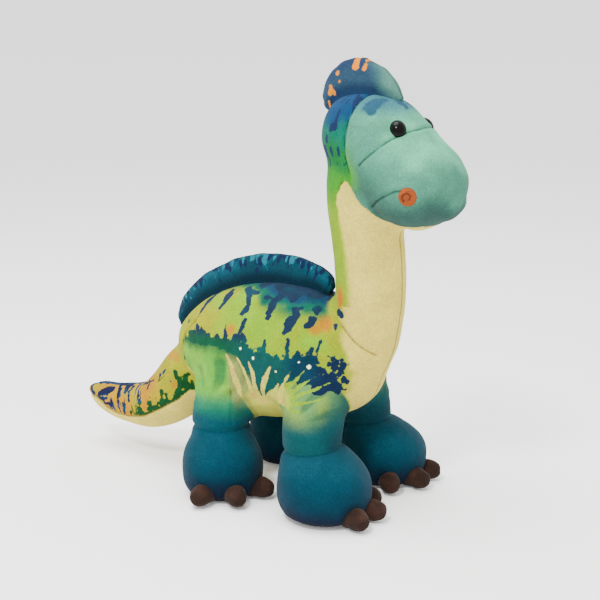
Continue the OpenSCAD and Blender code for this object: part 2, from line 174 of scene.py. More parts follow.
def leg_grid(L, side, nu=70, nv=72):
    rows = station(leg_rows(L), np.linspace(0, 1, nu))
    v = np.radians(np.arange(nv) * 360 / nv)
    G = np.stack([rows[:, 0:1] + rows[:, 3:4] * np.cos(v), side * rows[:, 1:2] + rows[:, 3:4] * np.sin(v), np.repeat(rows[:, 2:3], nv, 1)], -1)
    return G


def new_object(name, V, F, mm=True):
    me = bpy.data.meshes.new(name)
    V = np.asarray(V, float) * (MM if mm else 1)
    me.from_pydata([tuple(p) for p in V], [], [tuple(int(i) for i in f) for f in F])
    me.update()
    ob = bpy.data.objects.new(name, me)
    bpy.context.scene.collection.objects.link(ob)
    return ob


def applied(ob):
    """Arrays of the object's mesh with its modifiers applied: vertices (mm) and faces as a list of arrays."""
    dg = bpy.context.evaluated_depsgraph_get()
    me = bpy.data.meshes.new_from_object(ob.evaluated_get(dg))
    V = np.empty(len(me.vertices) * 3)
    me.vertices.foreach_get("co", V)
    V = V.reshape(-1, 3) / MM
    F = [tuple(p.vertices) for p in me.polygons]
    bpy.data.meshes.remove(me)
    return V, F


def remove(ob):
    me = ob.data
    bpy.data.objects.remove(ob)
    bpy.data.meshes.remove(me)


def quads(F):
    """Faces as an n by 4 array; a triangle repeats its last corner."""
    return np.array([f if len(f) == 4 else (f[0], f[1], f[2], f[2]) for f in F], int)


class Skin:
    """A mesh as arrays, with its neighbours, for smoothing and shaping."""

    def __init__(self, V, F):
        self.V, self.F = np.array(V, float), F
        Q = quads(F)
        E = np.vstack([Q[:, [0, 1]], Q[:, [1, 2]], Q[:, [2, 3]], Q[:, [3, 0]]])
        E = E[E[:, 0] != E[:, 1]]
        E = np.unique(np.sort(E, axis=1), axis=0)
        self.E, self.Q = E, Q
        self.deg = np.bincount(E.ravel(), minlength=len(V)).astype(float)

    def mean(self, X):
        out = np.zeros_like(X)
        for k in range(X.shape[1]):
            out[:, k] = np.bincount(self.E[:, 0], X[self.E[:, 1], k], len(X)) + np.bincount(self.E[:, 1], X[self.E[:, 0], k], len(X))
        return out / np.maximum(self.deg, 1)[:, None]

    def relax(self, weight, times, lam=0.5):
        w = (np.asarray(weight) * lam)
        w = w[:, None] if w.ndim else w
        for _ in range(times):
            self.V += w * (self.mean(self.V) - self.V)

    def normals(self):
        Q, V = self.Q, self.V
        n = np.cross(V[Q[:, 2]] - V[Q[:, 0]], V[Q[:, 3]] - V[Q[:, 1]])
        N = np.zeros_like(V)
        for c in range(4):
            for k in range(3):
                N[:, k] += np.bincount(Q[:, c], n[:, k], len(V))
        return N / np.maximum(np.linalg.norm(N, axis=1), 1e-12)[:, None]


# ------------------------------------------------------------------ the stuffed body, as one form before it is cut into panels
LOFTS = {
    "torso": loft(TORSO, 70, 96, 6, 4),
    "neck": loft(NECK, 60, 80, 26, 20),
    "head": loft(HEAD, 80, 96, 4, 5),
    "tail": loft(TAIL[::-1] * 1.0, 70, 64, 3, 24),
    "front_left": leg_grid(FRONT, 1), "front_right": leg_grid(FRONT, -1),
    "hind_left": leg_grid(HIND, 1), "hind_right": leg_grid(HIND, -1),
}
NAMES = list(LOFTS)
allV, allF, trees = [], [], {}
for nm, G in LOFTS.items():
    V, F = tube_mesh(G)
    trees[nm] = BVHTree.FromPolygons([Vector(p) for p in V], F)
    k = len(allV)
    allV += V
    allF += [tuple(i + k for i in f) for f in F]
base = new_object("base_form", allV, allF)
mod = base.modifiers.new("r", "REMESH")
mod.mode, mod.voxel_size = "VOXEL", 0.0026
V, F = applied(base)
remove(base)
body = Skin(V, F)


def part_distances(P):
    D = np.empty((len(P), len(NAMES)))
    for k, nm in enumerate(NAMES):
        t = trees[nm]
        D[:, k] = [t.find_nearest(Vector(p))[3] for p in P]
    return D


PD = part_distances(body.V)
two = np.sort(PD, axis=1)
near2 = two[:, 1]
part = np.argmin(PD, axis=1)
is_leg = part >= 4
# fillets where the parts meet
isneck = (part == 1) | (part == 0)
w = np.exp(-(near2 / 9.0) ** 2)
body.relax(w, 60)
w = np.exp(-(near2 / 5.0) ** 2)
body.relax(w, 20)
body.relax(0.5, 4)
print("body", len(body.V), "faces", len(F), flush=True)

# one subdivision, so prints and seams have room
ob = new_object("sub", body.V, body.F)
mod = ob.modifiers.new("s", "SUBSURF")
mod.levels = 1
V, F = applied(ob)
remove(ob)
skin = Skin(V, F)
P0 = skin.V.copy()
PD = part_distances(P0)
part = np.argmin(PD, axis=1)
dT, dN, dH, dA = PD[:, 0], PD[:, 1], PD[:, 2], PD[:, 3]
dL = PD[:, 4:].min(axis=1)
print("skin", len(P0), flush=True)

# ------------------------------------------------------------------ print and seams: points on the right half as [x, |y|, z] or [x, |y|, z, radius], mm
DRIPS = [[[-31.2,6.6,158.8,3.0],[-32.2,12.6,157.0,3.0],[-33.1,18.4,154.3,3.7],[-33.3,24.9,150.7,2.3],[-34.1,29.9,146.4,1.3],[-34.2,34.2,141.8,0.8]],
    [[-12.4,15.7,163.7,2.1],[-10.3,24.5,160.3,3.7],[-9.9,29.7,156.8,2.1],[-12.0,33.3,153.1,1.7]],[[4.8,17.2,167.4,3.0],[11.2,25.4,164.2,2.8],[13.6,30.1,
    161.3,1.8],[16.3,33.7,158.4,0.9],[15.2,37.1,155.0,3.0],[13.5,39.8,151.5,1.4]],[[5.6,18.3,167.0,1.6],[17.0,23.8,165.7,2.1]],[[29.6,27.2,164.5,1.6],
    [32.2,27.4,164.3,1.6]],[[37.4,29.0,163.1,2.5],[38.3,33.0,160.0,3.4],[37.9,36.4,156.5,2.3],[37.1,38.3,154.5,1.4]],[[38.9,40.2,152.0,1.7]],[[62.9,30.0,
    159.4,1.4],[59.4,32.1,158.5,2.3],[62.5,35.7,154.2,2.0],[59.6,39.3,150.6,3.9],[59.0,42.7,145.8,3.1],[56.7,45.1,142.1,1.6]],[[74.6,23.0,159.4,2.3],
    [75.1,26.6,156.7,1.1]],[[72.0,25.2,159.5,1.1]],[[74.7,32.5,152.2,3.0],[74.2,35.3,149.5,1.6],[72.8,37.2,148.2,2.0]],[[88.3,21.3,155.5,1.7],[85.9,22.9,
    151.4,1.0]],[[94.2,24.7,159.2,2.1],[97.5,26.4,157.1,1.4]],[[93.2,26.0,148.4,2.3],[93.2,27.9,142.5,1.3]],[[-47.4,29.3,136.6,0.8],[-46.6,31.0,135.5,
    0.6]],[[-32.8,38.7,136.9,0.9],[-29.3,42.2,133.3,1.1]],[[-49.0,37.0,120.0,0.7],[-47.8,38.4,115.1,0.8]],[[-46.8,38.8,111.0,0.7],[-50.1,33.2,103.1,0.8]]]
SPIKES = [[[1.6,45.1,141.5,0.9],[1.9,47.2,137.0,1.4],[3.6,49.7,130.8,2.1]],[[18.4,43.0,147.5,1.1],[17.8,45.2,143.8,1.8],[15.4,47.7,138.3,1.3],[15.6,
    49.6,133.5,1.8]],[[41.4,49.3,134.7,0.9],[41.0,51.0,129.1,2.1],[41.4,52.0,123.7,1.8]],[[61.3,46.7,137.1,1.4],[61.6,48.3,132.4,1.4],[62.5,49.1,129.3,
    1.4],[61.1,50.3,124.3,1.8]],[[85.6,37.7,138.0,1.1],[85.0,40.7,133.3,1.6],[84.7,42.2,130.2,1.6]],[[81.2,43.4,131.1,2.1],[80.5,44.8,127.9,1.6]],[[83.6,
    44.5,124.4,2.3]],[[102.1,34.2,123.4,1.6]],[[107.1,30.9,120.0,1.1]],[[103.8,33.9,119.7,2.3]],[[90.8,42.8,115.8,2.1]],[[77.8,46.6,124.1,2.3]],[[-23.8,
    45.0,131.2,3.0]],[[-14.8,47.6,130.3,2.8]],[[-4.8,48.9,130.7,3.0]],[[13.6,49.8,132.7,4.1]],[[20.3,49.6,134.1,3.4]],[[22.8,51.5,127.9,3.0]],[[34.7,52.4,
    122.8,3.0]],[[45.1,52.1,122.5,3.2]],[[53.9,51.6,121.9,2.5]],[[62.2,50.4,122.8,3.4]],[[70.2,48.7,124.0,3.9]],[[98.1,38.2,118.8,3.0]],[[101.1,36.8,
    112.7,2.5]],[[104.1,34.2,108.0,2.3]]]
BAND_TOP = [[-33.6,41.4,131.4],[-21.7,46.0,130.3],[-9.9,48.7,129.4],[0.3,49.4,130.9],[11.6,49.8,132.4],[21.2,50.0,132.9],[24.9,51.6,127.6],[34.6,52.3,
    123.4],[44.9,51.9,123.5],[52.7,51.7,121.5],[62.2,50.3,123.3],[68.9,48.8,125.0],[75.5,47.0,125.5],[81.8,44.8,126.4],[85.4,44.5,121.3],[89.3,43.5,
    115.9],[94.2,41.1,112.9],[98.2,38.3,117.7],[101.7,35.7,119.2],[104.8,33.4,118.6]]
BAND_LOW = [[-30.7,45.6,122.5],[-18.3,48.9,123.7],[-7.2,50.7,123.2],[4.6,51.9,122.1],[16.2,52.9,119.2],[23.2,53.4,112.2],[29.3,52.5,103.6],[32.0,47.7,
    88.8],[36.6,45.6,85.5],[45.7,49.3,94.9],[56.7,50.0,100.2],[66.7,49.4,105.0],[77.2,49.8,104.4],[86.5,48.3,104.3],[94.3,42.3,102.8],[101.5,32.8,97.0],
    [105.5,31.0,100.6]]
FINGERS = [[[28.4,53.1,116.6,0.9],[31.7,53.0,108.7,2.1],[32.7,50.8,96.7,2.3],[33.3,43.6,82.1,1.8]],[[47.9,52.5,114.2,1.4],[42.9,52.1,104.4,2.8],[38.9,
    49.0,92.6,2.5],[36.1,42.8,81.2,1.8]],[[54.4,50.5,101.1,1.1],[48.3,48.2,92.7,2.1],[41.5,42.8,82.0,2.1]],[[66.0,49.3,103.5,0.9],[57.4,48.0,94.6,1.8],
    [48.7,43.7,84.6,1.8]],[[83.5,45.5,107.7,2.3],[77.9,53.0,101.9,2.1],[68.3,56.1,93.3,2.3],[49.3,40.5,80.3,2.3]],[[95.2,46.0,100.7,3.2],[87.6,54.5,98.1,
    3.4],[77.8,59.2,92.2,3.4],[66.1,56.7,85.1,3.4]],[[16.9,52.9,118.8,1.1],[23.1,53.2,109.9,1.8],[27.2,51.6,98.4,2.1],[29.1,44.4,82.8,2.5]],[[6.4,52.5,
    119.0,1.4],[12.2,53.2,110.6,2.3],[15.2,51.7,99.0,3.0],[17.5,47.4,86.5,3.0]]]
DOTS = [[[32.3,52.8,120.0,1.3]],[[72.2,48.7,121.3,1.0]],[[80.2,46.7,118.2,1.6]],[[53.2,52.1,111.9,0.9]],[[19.7,51.8,125.9,1.1]]]
BAND_EDGE = [[-36.3,6.4,156.3],[-26.0,6.7,161.1],[-15.4,6.8,165.2],[-0.5,13.0,167.8],[16.4,19.7,167.9],[28.2,25.5,165.5],[41.5,29.6,162.6],[55.1,30.3,
    160.8],[66.2,27.3,160.4],[75.8,21.7,159.3],[84.8,15.2,155.7]]
NECK_SEAM = [[92.1,24.6,152.7],[99.7,28.1,148.2],[107.0,28.9,140.9],[113.0,27.3,135.2],[118.6,23.9,130.7],[124.4,17.2,126.3]]
CHEST_EDGE = [[97.6,26.7,154.9],[102.5,28.7,145.9],[104.8,29.3,134.0],[106.3,30.6,123.2],[109.2,30.0,112.2],[107.5,29.1,100.4]]
ORANGE_SPOTS = [[[84.6,28.0,149.1,9.2]],[[79.1,36.0,145.5,6.9]],[[95.4,24.4,168.7,4.1]],[[7.0,46.9,138.8,6.9]]]
THROAT_SEAM = [[130.9,12.9,217.5],[131.6,12.9,211.1],[132.9,11.6,205.6],[135.6,4.8,197.7]]
NAPE_SEAM = [[112.2,4.6,327.1],[110.4,9.7,326.3],[109.0,19.2,322.3],[106.7,28.7,314.2],[105.2,34.7,303.2],[104.3,36.2,292.0],[103.5,34.0,279.5],
    [105.6,30.8,269.4],[107.1,29.5,265.5]]
CHEEK_SEAM = [[116.6,37.2,274.8],[122.1,38.7,279.8],[128.3,38.6,284.8],[138.4,34.1,293.2],[144.1,29.0,297.0],[148.4,23.3,299.6],[153.2,14.0,301.3],
    [155.2,0.8,302.6]]
DART = [[119.2,22.2,241.2],[130.1,35.0,248.4],[138.3,40.7,252.9],[150.3,44.1,258.6],[156.3,43.7,259.4]]
FRONT_SEAM = [[174.4,12.1,281.2],[179.4,11.7,273.9],[182.9,10.9,263.8],[183.6,9.4,253.4],[165.8,28.7,238.4]]
CHIN_SEAM = [[111.9,25.6,247.0],[119.2,22.2,241.2],[125.2,17.1,236.1],[138.2,18.9,230.6],[152.7,22.6,229.6],[160.3,16.7,229.9]]
BLUES = [[[124.2,11.4,323.1,2.7],[121.5,18.5,320.7,3.5],[116.6,23.3,318.4,2.7]],[[123.2,21.7,318.1,1.9],[121.2,27.4,313.4,1.5]],[[131.2,4.8,322.2,
    1.7],[134.3,4.9,320.7,2.1],[139.5,4.9,317.1,2.3]],[[114.5,25.4,317.1,1.3],[120.6,24.8,316.3,1.9]]]
CREAM_TOP = [[94.1,26.7,254.4],[95.3,26.9,258.4],[99.8,27.1,262.3],[103.5,26.8,261.2],[106.3,26.5,257.5],[109.3,26.2,250.4],[113.2,25.2,244.8]]
SPOTS = [[[97.7,9.0,351.1,2.5],[97.5,9.0,346.9,3.1]],[[105.0,9.0,347.9,1.7],[104.6,9.0,345.3,1.9]],[[82.3,9.0,342.0,2.1]],[[84.4,9.0,335.4,1.3]],
    [[76.8,9.0,330.9,1.7],[76.5,9.0,326.1,2.1]],[[79.9,9.0,328.6,1.0],[80.2,9.0,325.7,1.5]],[[74.8,9.0,320.3,1.0],[75.2,9.0,315.5,1.0]],[[105.3,9.0,351.6,
    1.3]]]
GUSSET = [[111.8,9.0,350.7],[116.2,9.0,344.7],[117.4,9.0,338.1],[120.7,9.0,332.6],[125.0,9.0,328.9]]
TAIL_SEAM = [[-36.2,34.8,139.7],[-48.5,35.5,125.5],[-49.0,37.6,115.9],[-48.6,36.1,105.7],[-88.0,23.3,75.9],[-49.0,27.3,88.5]]
TAIL_UNDER = [[-166.7,12.9,45.8],[-152.6,15.5,38.9],[-139.6,16.5,35.8],[-126.1,18.3,35.8],[-104.6,21.9,40.9],[-84.8,23.9,51.1],[-65.6,24.0,62.6],
    [-52.4,24.0,73.4]]
TAIL_NAVY = [[[-175.9,1.1,56.8,1.5],[-181.5,2.7,54.2,1.5],[-179.2,7.2,50.2,1.7],[-172.7,10.7,48.2,1.3]],[[-164.1,12.5,50.0,2.3],[-156.6,11.5,53.6,
    4.5],[-151.3,9.6,56.1,2.8]],[[-168.6,12.4,45.4,0.9],[-161.7,14.0,46.9,1.3],[-153.8,15.1,47.9,1.1]],[[-158.3,14.7,46.5,0.8],[-155.8,15.5,42.7,0.9],
    [-148.6,16.6,44.2,0.9]],[[-147.5,16.2,47.5,0.9],[-144.8,17.2,42.8,1.1],[-142.8,17.3,40.4,0.9]],[[-138.4,17.3,48.2,0.8],[-137.9,18.2,43.1,1.2]],
    [[-140.8,10.8,57.0,1.7],[-137.6,15.7,52.2,1.3]],[[-134.8,9.9,58.7,1.9],[-134.3,13.8,55.5,1.3]],[[-132.1,18.5,47.3,0.8],[-129.6,19.4,43.1,1.1]],
    [[-128.8,12.4,58.1,1.5],[-126.7,15.9,55.0,0.9]],[[-127.5,8.9,60.7,1.3],[-127.3,12.5,58.4,0.9]],[[-116.0,15.0,60.8,0.9],[-113.5,19.0,56.9,1.1]],
    [[-123.8,18.8,50.9,1.3]],[[-120.8,7.2,63.4,1.7],[-121.3,13.4,59.5,0.9]],[[-101.2,18.4,69.7,1.1],[-101.7,20.5,65.4,0.8]],[[-84.4,23.1,82.3,1.3],[-86.9,
    23.3,77.8,0.8]],[[-155.6,1.1,58.8,0.9],[-141.5,5.0,59.7,0.9],[-130.0,5.8,61.5,0.8]],[[-112.9,10.5,66.5,0.8],[-94.6,20.1,74.8,0.8]],[[-76.9,24.4,88.8,
    0.9],[-81.0,24.2,84.1,0.8]],[[-69.6,27.8,79.4,0.8]],[[-94.6,20.1,74.8,0.9]]]
TAIL_GREEN = [[[-120.8,20.5,41.6,0.9]],[[-112.6,21.6,42.2,1.3]],[[-107.6,22.8,47.1,1.1]],[[-106.1,22.4,43.0,1.7],[-100.1,22.7,43.0,1.1]],[[-99.3,23.9,
    56.1,1.1],[-96.3,24.5,54.1,0.9]],[[-97.4,24.1,49.1,1.7],[-91.9,24.5,51.1,1.9]],[[-87.2,24.1,50.8,2.3],[-92.9,23.4,46.5,1.3]],[[-81.1,26.4,68.0,1.3],
    [-81.0,25.9,61.7,2.4],[-81.6,24.6,54.9,2.8]],[[-76.0,26.5,65.7,1.5],[-74.7,25.2,60.4,1.9]],[[-74.1,24.4,58.2,2.4],[-67.7,24.5,62.4,2.4]],[[-63.3,26.7,
    71.9,1.3],[-64.6,25.2,66.1,2.3]],[[-64.5,27.7,88.3,1.1],[-63.3,28.1,83.5,0.9]],[[-59.6,27.9,82.0,2.3],[-59.4,26.8,75.6,3.0]],[[-53.7,27.5,84.8,2.6],
    [-54.1,25.6,76.1,3.4]],[[-50.0,27.5,89.4,1.3]],[[-59.8,24.8,68.8,2.4],[-53.4,25.0,75.0,1.9]],[[-40.7,41.1,104.9,1.5],[-40.5,39.8,101.7,1.1]],[[-46.8,
    38.3,108.4,0.8]],[[-49.8,36.3,120.5,0.6],[-48.5,37.6,118.0,0.7]],[[-34.8,43.6,124.0,0.9],[-35.0,44.2,120.7,0.8]]]
HIND_SEAM = [[5.3,52.5,118.8],[8.4,53.0,111.7],[8.9,51.6,98.0],[12.5,55.1,80.2],[14.0,57.4,59.8]]


def fold(P):
    Q = P.copy()
    Q[:, 1] = np.abs(Q[:, 1])
    return Q


S3 = fold(P0)


def chain(P, strokes, grow=0.0):
    """Signed distance to round-ended strokes; negative inside."""
    out = np.full(len(P), 1e3)
    for st in strokes:
        st = np.array(st, float)
        lo, hi = st[:, :3].min(0) - 14, st[:, :3].max(0) + 14
        m = np.where(((P > lo) & (P < hi)).all(1))[0]
        if not len(m):
            continue
        Q = P[m]
        best = np.full(len(m), 1e3)
        if len(st) == 1:
            best = np.linalg.norm(Q - st[0, :3], axis=1) - st[0, 3]
        for a, b in zip(st[:-1], st[1:]):
            d = b[:3] - a[:3]
            t = np.clip(((Q - a[:3]) @ d) / max(d @ d, 1e-9), 0, 1)
            best = np.minimum(best, np.linalg.norm(Q - a[:3] - t[:, None] * d, axis=1) - (a[3] + (b[3] - a[3]) * t))
        out[m] = np.minimum(out[m], best - grow)
    return out


def line_side(P, line, k=2, j=0):
    """Signed distance in the side view to a drawn line: positive on its left when walking along it."""
    L = np.array(line, float)[:, [j, k]]
    Q = P[:, [j, k]]
    best, sign = np.full(len(Q), 1e9), np.zeros(len(Q))
    for n, (a, b) in enumerate(zip(L[:-1], L[1:])):
        d = b - a
        t = ((Q - a) @ d) / max(d @ d, 1e-9)
        lo = -1e9 if n == 0 else 0
        hi = 1e9 if n == len(L) - 2 else 1
        t = np.clip(t, lo, hi)
        e = Q - a - t[:, None] * d
        r = np.linalg.norm(e, axis=1)
        s = np.sign(d[0] * (Q[:, 1] - a[1]) - d[1] * (Q[:, 0] - a[0]))
        m = r < best
        best[m], sign[m] = r[m], s[m]
    return best * sign


x, ya, z = S3[:, 0], S3[:, 1], S3[:, 2]
N0 = skin.normals()

# ---- seams: (distance field, depth, width)
seam = np.full(len(P0), 50.0)
press = np.zeros(len(P0))


def stitch(d, depth, width, where=None, line=True, off=0.0):
    global seam, press
    d = np.array(d)
    if where is not None:
        d = np.where(where, d, 50.0)
    press += -depth * np.exp(-(d / width) ** 2) + 0.22 * depth * np.exp(-((d - 2.2 * width) / (1.3 * width)) ** 2)
    if line:
        seam = np.minimum(seam, d + off)


def front_line(line):
    return seg_dist(S3, line)


onhead = (dH < np.minimum(dN, dT) + 1.5)
neck_c = station(NECK, np.linspace(0, 1, 60))
ncx = np.interp(z, neck_c[:, 1], neck_c[:, 0])
phi = np.degrees(np.arctan2(ya, -(x - ncx)))        # round the neck: 0 at the back, 180 at the throat
stitch(seg_dist(S3, NAPE_SEAM), 1.1, 1.5)
stitch(seg_dist(S3, CHEEK_SEAM), 1.0, 1.4)
stitch(seg_dist(S3, DART), 1.1, 1.4)
stitch(seg_dist(S3, CHIN_SEAM), 0.9, 1.5)
stitch(seg_dist(S3, CREAM_TOP[-3:] + CHIN_SEAM[1:2]), 0.9, 1.5)
stitch(seg_dist(S3, CREAM_TOP[:-2]), 0.7, 1.3)
stitch(seg_dist(S3, [[152, 0, 283], [160, 0, 274], [164, 0, 262], [164, 0, 248]]), 0.0, 1.5)
mid_face = np.where((x > 140 + DX) & onhead & (z > 236) & (z < 292), ya, 50)
stitch(mid_face, 0.4, 1.4, line=False)
throat = np.where((phi > 120) & (z > 60) & (z < 250) & ~onhead & (x > 60), ya, 50)
stitch(throat, 0.45, 1.6)
stitch(seg_dist(S3, NECK_SEAM), 1.3, 1.7)
stitch(seg_dist(S3, TAIL_SEAM), 1.0, 1.6)
leg_near = dL < 2.0
ankF = 53.0 + 0.10 * (x - FRONT[1])
ankH = 57.0
front_zone = x > 38
ank = np.where(front_zone, ankF, ankH)
stitch(np.abs(z - ank), 1.5, 2.1, leg_near & (z < 75), off=0.55)
stitch(np.abs(z - 3.2), 0.6, 1.1, leg_near & (z < 10))
stitch(seg_dist(S3, HIND_SEAM), 0.8, 1.3, leg_near & (z > 55))
back_leg_seam = np.where(leg_near & (z > 57) & (z < 92) & front_zone & (x < FRONT[1] - 12), np.abs(ya - 46), 50)
stitch(back_leg_seam, 0.6, 1.3)
# the tail's underside seam
tail_on = (dA < np.minimum(dT, dL) + 0.5) & (x < -38)
tu = np.array(TAIL_UNDER)
tz = np.interp(x, tu[np.argsort(tu[:, 0]), 0], tu[np.argsort(tu[:, 0]), 2])
tail_line = np.where(tail_on & (x < -60), z - tz, 50)
stitch(np.abs(tail_line), 0.7, 1.3)

# ---- the cover swells between its seams: a cloth run under pressure, held along every seam and at the soles


def swell(points, held, cap):
    ob = new_object("swell", body.V, body.F)
    m_ = ob.modifiers.new("r", "REMESH")
    m_.mode, m_.voxel_size = "VOXEL", 0.005
    V_, F_ = applied(ob)
    remove(ob)
    ob = new_object("swell", V_, F_)
    tree = KDTree(len(points))
    for k_, q_ in enumerate(points):
        tree.insert(Vector(q_), k_)
    tree.balance()
    grp = ob.vertex_groups.new(name="held")
    for k_, q_ in enumerate(V_):
        grp.add([k_], float(held[tree.find(Vector(q_))[1]]), "REPLACE")
    c_ = ob.modifiers.new("c", "CLOTH")
    c_.settings.quality = 4
    c_.settings.mass = 0.3
    c_.settings.use_pressure = True
    c_.settings.uniform_pressure_force = 4.0
    c_.settings.vertex_group_mass = "held"
    c_.settings.effector_weights.gravity = 0.0
    c_.point_cache.frame_start, c_.point_cache.frame_end = 1, 20
    for f_ in range(1, 21):
        bpy.context.scene.frame_set(f_)
    e_ = ob.evaluated_get(bpy.context.evaluated_depsgraph_get())
    W_ = np.empty(len(e_.data.vertices) * 3)
    e_.data.vertices.foreach_get("co", W_)
    W_ = W_.reshape(-1, 3) / MM
    bpy.context.scene.frame_set(1)
    remove(ob)
    D_ = W_ - V_
    far = np.linalg.norm(D_, axis=1)
    print("swell", len(V_), far.mean(), far.max(), flush=True)
    D_ *= (cap * np.tanh(far / cap) / np.maximum(far, 1e-6))[:, None]
    tree = KDTree(len(V_))
    for k_, q_ in enumerate(V_):
        tree.insert(Vector(q_), k_)
    tree.balance()
    out = np.zeros_like(points)
    for k_, q_ in enumerate(points):
        near = tree.find_n(Vector(q_), 5)
        w_ = np.array([1 / (n_[2] ** 2 + 1.0) for n_ in near])
        out[k_] = (D_[[n_[1] for n_ in near]] * w_[:, None]).sum(0) / w_.sum()
    return out


puff = np.zeros_like(P0)
hold = np.maximum(1 - smooth(3, 9, seam), 1 - smooth(3, 12, z))
puff = swell(P0, hold, 1.3) * (smooth(1.0, 5.0, seam) * smooth(2, 12, z))[:, None]

# ---- pleats that fan out from the top of each leg
fold_amt = np.zeros(len(P0))
for L, fx in ((HIND, HIND[0]), (FRONT, FRONT[0])):
    cx, cz = fx + (6 if L is HIND else -8), 70.0
    ang = np.degrees(np.arctan2(z - cz, x - cx))
    rad = np.hypot(x - cx, z - cz)
    m = smooth(13, 24, rad) * (1 - smooth(38, 50, rad)) * smooth(0, 25, ang) * (1 - smooth(150, 178, ang)) * smooth(30, 38, ya)
    w = noise(P0, 18, 3 if L is HIND else 5)
    fold_amt += m * (0.85 * np.sin(np.radians(ang * 11.0 + 60 * w)) + 0.5 * np.sin(np.radians(ang * 6.3 + 100 * w)))
press += fold_amt * 0.9
# soft unevenness of hand-filled fabric
press += 0.45 * noise(P0, 22, 1) + 0.18 * noise(P0, 9, 2)
floor_safe = smooth(0.3, 5, z)
skin.V = P0 + puff + N0 * (press * np.where(leg_near & (z < 8), floor_safe, 1))[:, None]
skin.V[:, 2] = np.maximum(skin.V[:, 2], 0.35)

# ------------------------------------------------------------------ colours
# Surface colours (scene linear) for the colours named here: print and fabric colours, and the painted light and shade
# used on the face, the leg pleats, the feet and the inner hind leg.
PAINT = {
    "#006a75": (0.0030, 0.0444, 0.0591),
    "#034a60": (0.0030, 0.0230, 0.0396),
    "#04203a": (0.0030, 0.0053, 0.0167),
    "#056074": (0.0035, 0.0377, 0.0564),
    "#06394c": (0.0030, 0.0147, 0.0261),
    "#08505f": (0.0038, 0.0271, 0.0388),
    "#0a4a60": (0.0044, 0.0230, 0.0396),
    "#0b6a49": (0.0030, 0.0510, 0.0230),
    "#0b6c68": (0.0030, 0.0502, 0.0453),
    "#0c5468": (0.0050, 0.0295, 0.0456),
    "#0f8078": (0.0030, 0.0714, 0.0598),
    "#0f8468": (0.0030, 0.0796, 0.0445),
    "#11608f": (0.0044, 0.0344, 0.0909),
    "#116a70": (0.0030, 0.0475, 0.0525),
    "#12345c": (0.0045, 0.0111, 0.0366),
    "#12395c": (0.0043, 0.0135, 0.0366),
    "#125a86": (0.0047, 0.0306, 0.0785),
    "#12632f": (0.0042, 0.0454, 0.0114),
    "#14587c": (0.0064, 0.0303, 0.0650),
    "#14694b": (0.0040, 0.0498, 0.0244),
    "#17758a": (0.0038, 0.0561, 0.0829),
    "#1a2f5c": (0.0062, 0.0089, 0.0366),
    "#1a3f6c": (0.0065, 0.0153, 0.0498),
    "#1a4a70": (0.0064, 0.0214, 0.0530),
    "#1b6478": (0.0079, 0.0408, 0.0604),
    "#1c6f80": (0.0062, 0.0509, 0.0695),
    "#1d4360": (0.0068, 0.0187, 0.0396),
    "#1d4a70": (0.0070, 0.0214, 0.0528),
    "#1f8f78": (0.0033, 0.0955, 0.0604),
    "#235f80": (0.0094, 0.0354, 0.0695),
    "#24406f": (0.0090, 0.0156, 0.0519),
    "#33567c": (0.0134, 0.0287, 0.0647),
    "#3a9a50": (0.0051, 0.1220, 0.0252),
    "#3b6680": (0.0162, 0.0414, 0.0695),
    "#3d2b24": (0.0183, 0.0101, 0.0077),
    "#3d7c66": (0.0147, 0.0680, 0.0436),
    "#3f8060": (0.0150, 0.0734, 0.0388),
    "#3f8f58": (0.0117, 0.0988, 0.0317),
    "#3f96a4": (0.0051, 0.1052, 0.1370),
    "#3f9c55": (0.0062, 0.1268, 0.0279),
    "#4a86a0": (0.0184, 0.0769, 0.1243),
    "#4c7a70": (0.0232, 0.0647, 0.0525),
    "#55392f": (0.0322, 0.0158, 0.0117),
    "#5aa57c": (0.0148, 0.1499, 0.0629),
    "#5f93a0": (0.0287, 0.0989, 0.1268),
    "#6cb046": (0.0297, 0.1964, 0.0110),
    "#7fa59c": (0.0552, 0.1487, 0.1193),
    "#7fae9c": (0.0460, 0.1830, 0.1191),
    "#86bd62": (0.0546, 0.2700, 0.0178),
    "#8a4526": (0.0838, 0.0215, 0.0092),
    "#8fb07c": (0.0821, 0.1964, 0.0557),
    "#8fbb66": (0.0776, 0.2598, 0.0218),
    "#9fc94e": (0.1160, 0.2889, 0.0030),
    "#a05a34": (0.1203, 0.0345, 0.0133),
    "#a3c274": (0.1304, 0.3186, 0.0247),
    "#a3c9b6": (0.0851, 0.3780, 0.2145),
    "#a9a878": (0.1563, 0.1673, 0.0499),
    "#a9bd5e": (0.1579, 0.2804, 0.0061),
    "#abc84a": (0.1568, 0.2628, 0.0030),
    "#adbd7c": (0.1709, 0.2804, 0.0389),
    "#afce48": (0.1665, 0.2650, 0.0030),
    "#b8673a": (0.1836, 0.0439, 0.0129),
    "#bcc64a": (0.2071, 0.2456, 0.0030),
    "#c4703f": (0.2337, 0.0520, 0.0116),
    "#c6cf4a": (0.2384, 0.2523, 0.0030),
    "#c6d23c": (0.2072, 0.2303, 0.0030),
    "#c9743a": (0.2596, 0.0565, 0.0074),
    "#c9c690": (0.3505, 0.3696, 0.0513),
    "#cbc58e": (0.3682, 0.3607, 0.0459),
    "#cbdc40": (0.2334, 0.2480, 0.0030),
    "#ccd040": (0.2347, 0.2387, 0.0030),
    "#cfc797": (0.4167, 0.3823, 0.0639),
    "#d2e03c": (0.2469, 0.2469, 0.0030),
    "#d6caa0": (0.5248, 0.4268, 0.0768),
    "#d8b490": (0.4935, 0.2296, 0.0595),
    "#d9b44c": (0.3446, 0.1910, 0.0030),
    "#dc9a40": (0.3483, 0.1159, 0.0030),
    "#dd9440": (0.3657, 0.1034, 0.0030),
    "#dd9a40": (0.3526, 0.1149, 0.0030),
    "#e0a23a": (0.3327, 0.1229, 0.0030),
    "#e4ead8": (0.9000, 0.9000, 0.5315),
    "#e6a860": (0.5147, 0.1607, 0.0030),
}


def srgb(h):
    return np.array(PAINT[h])


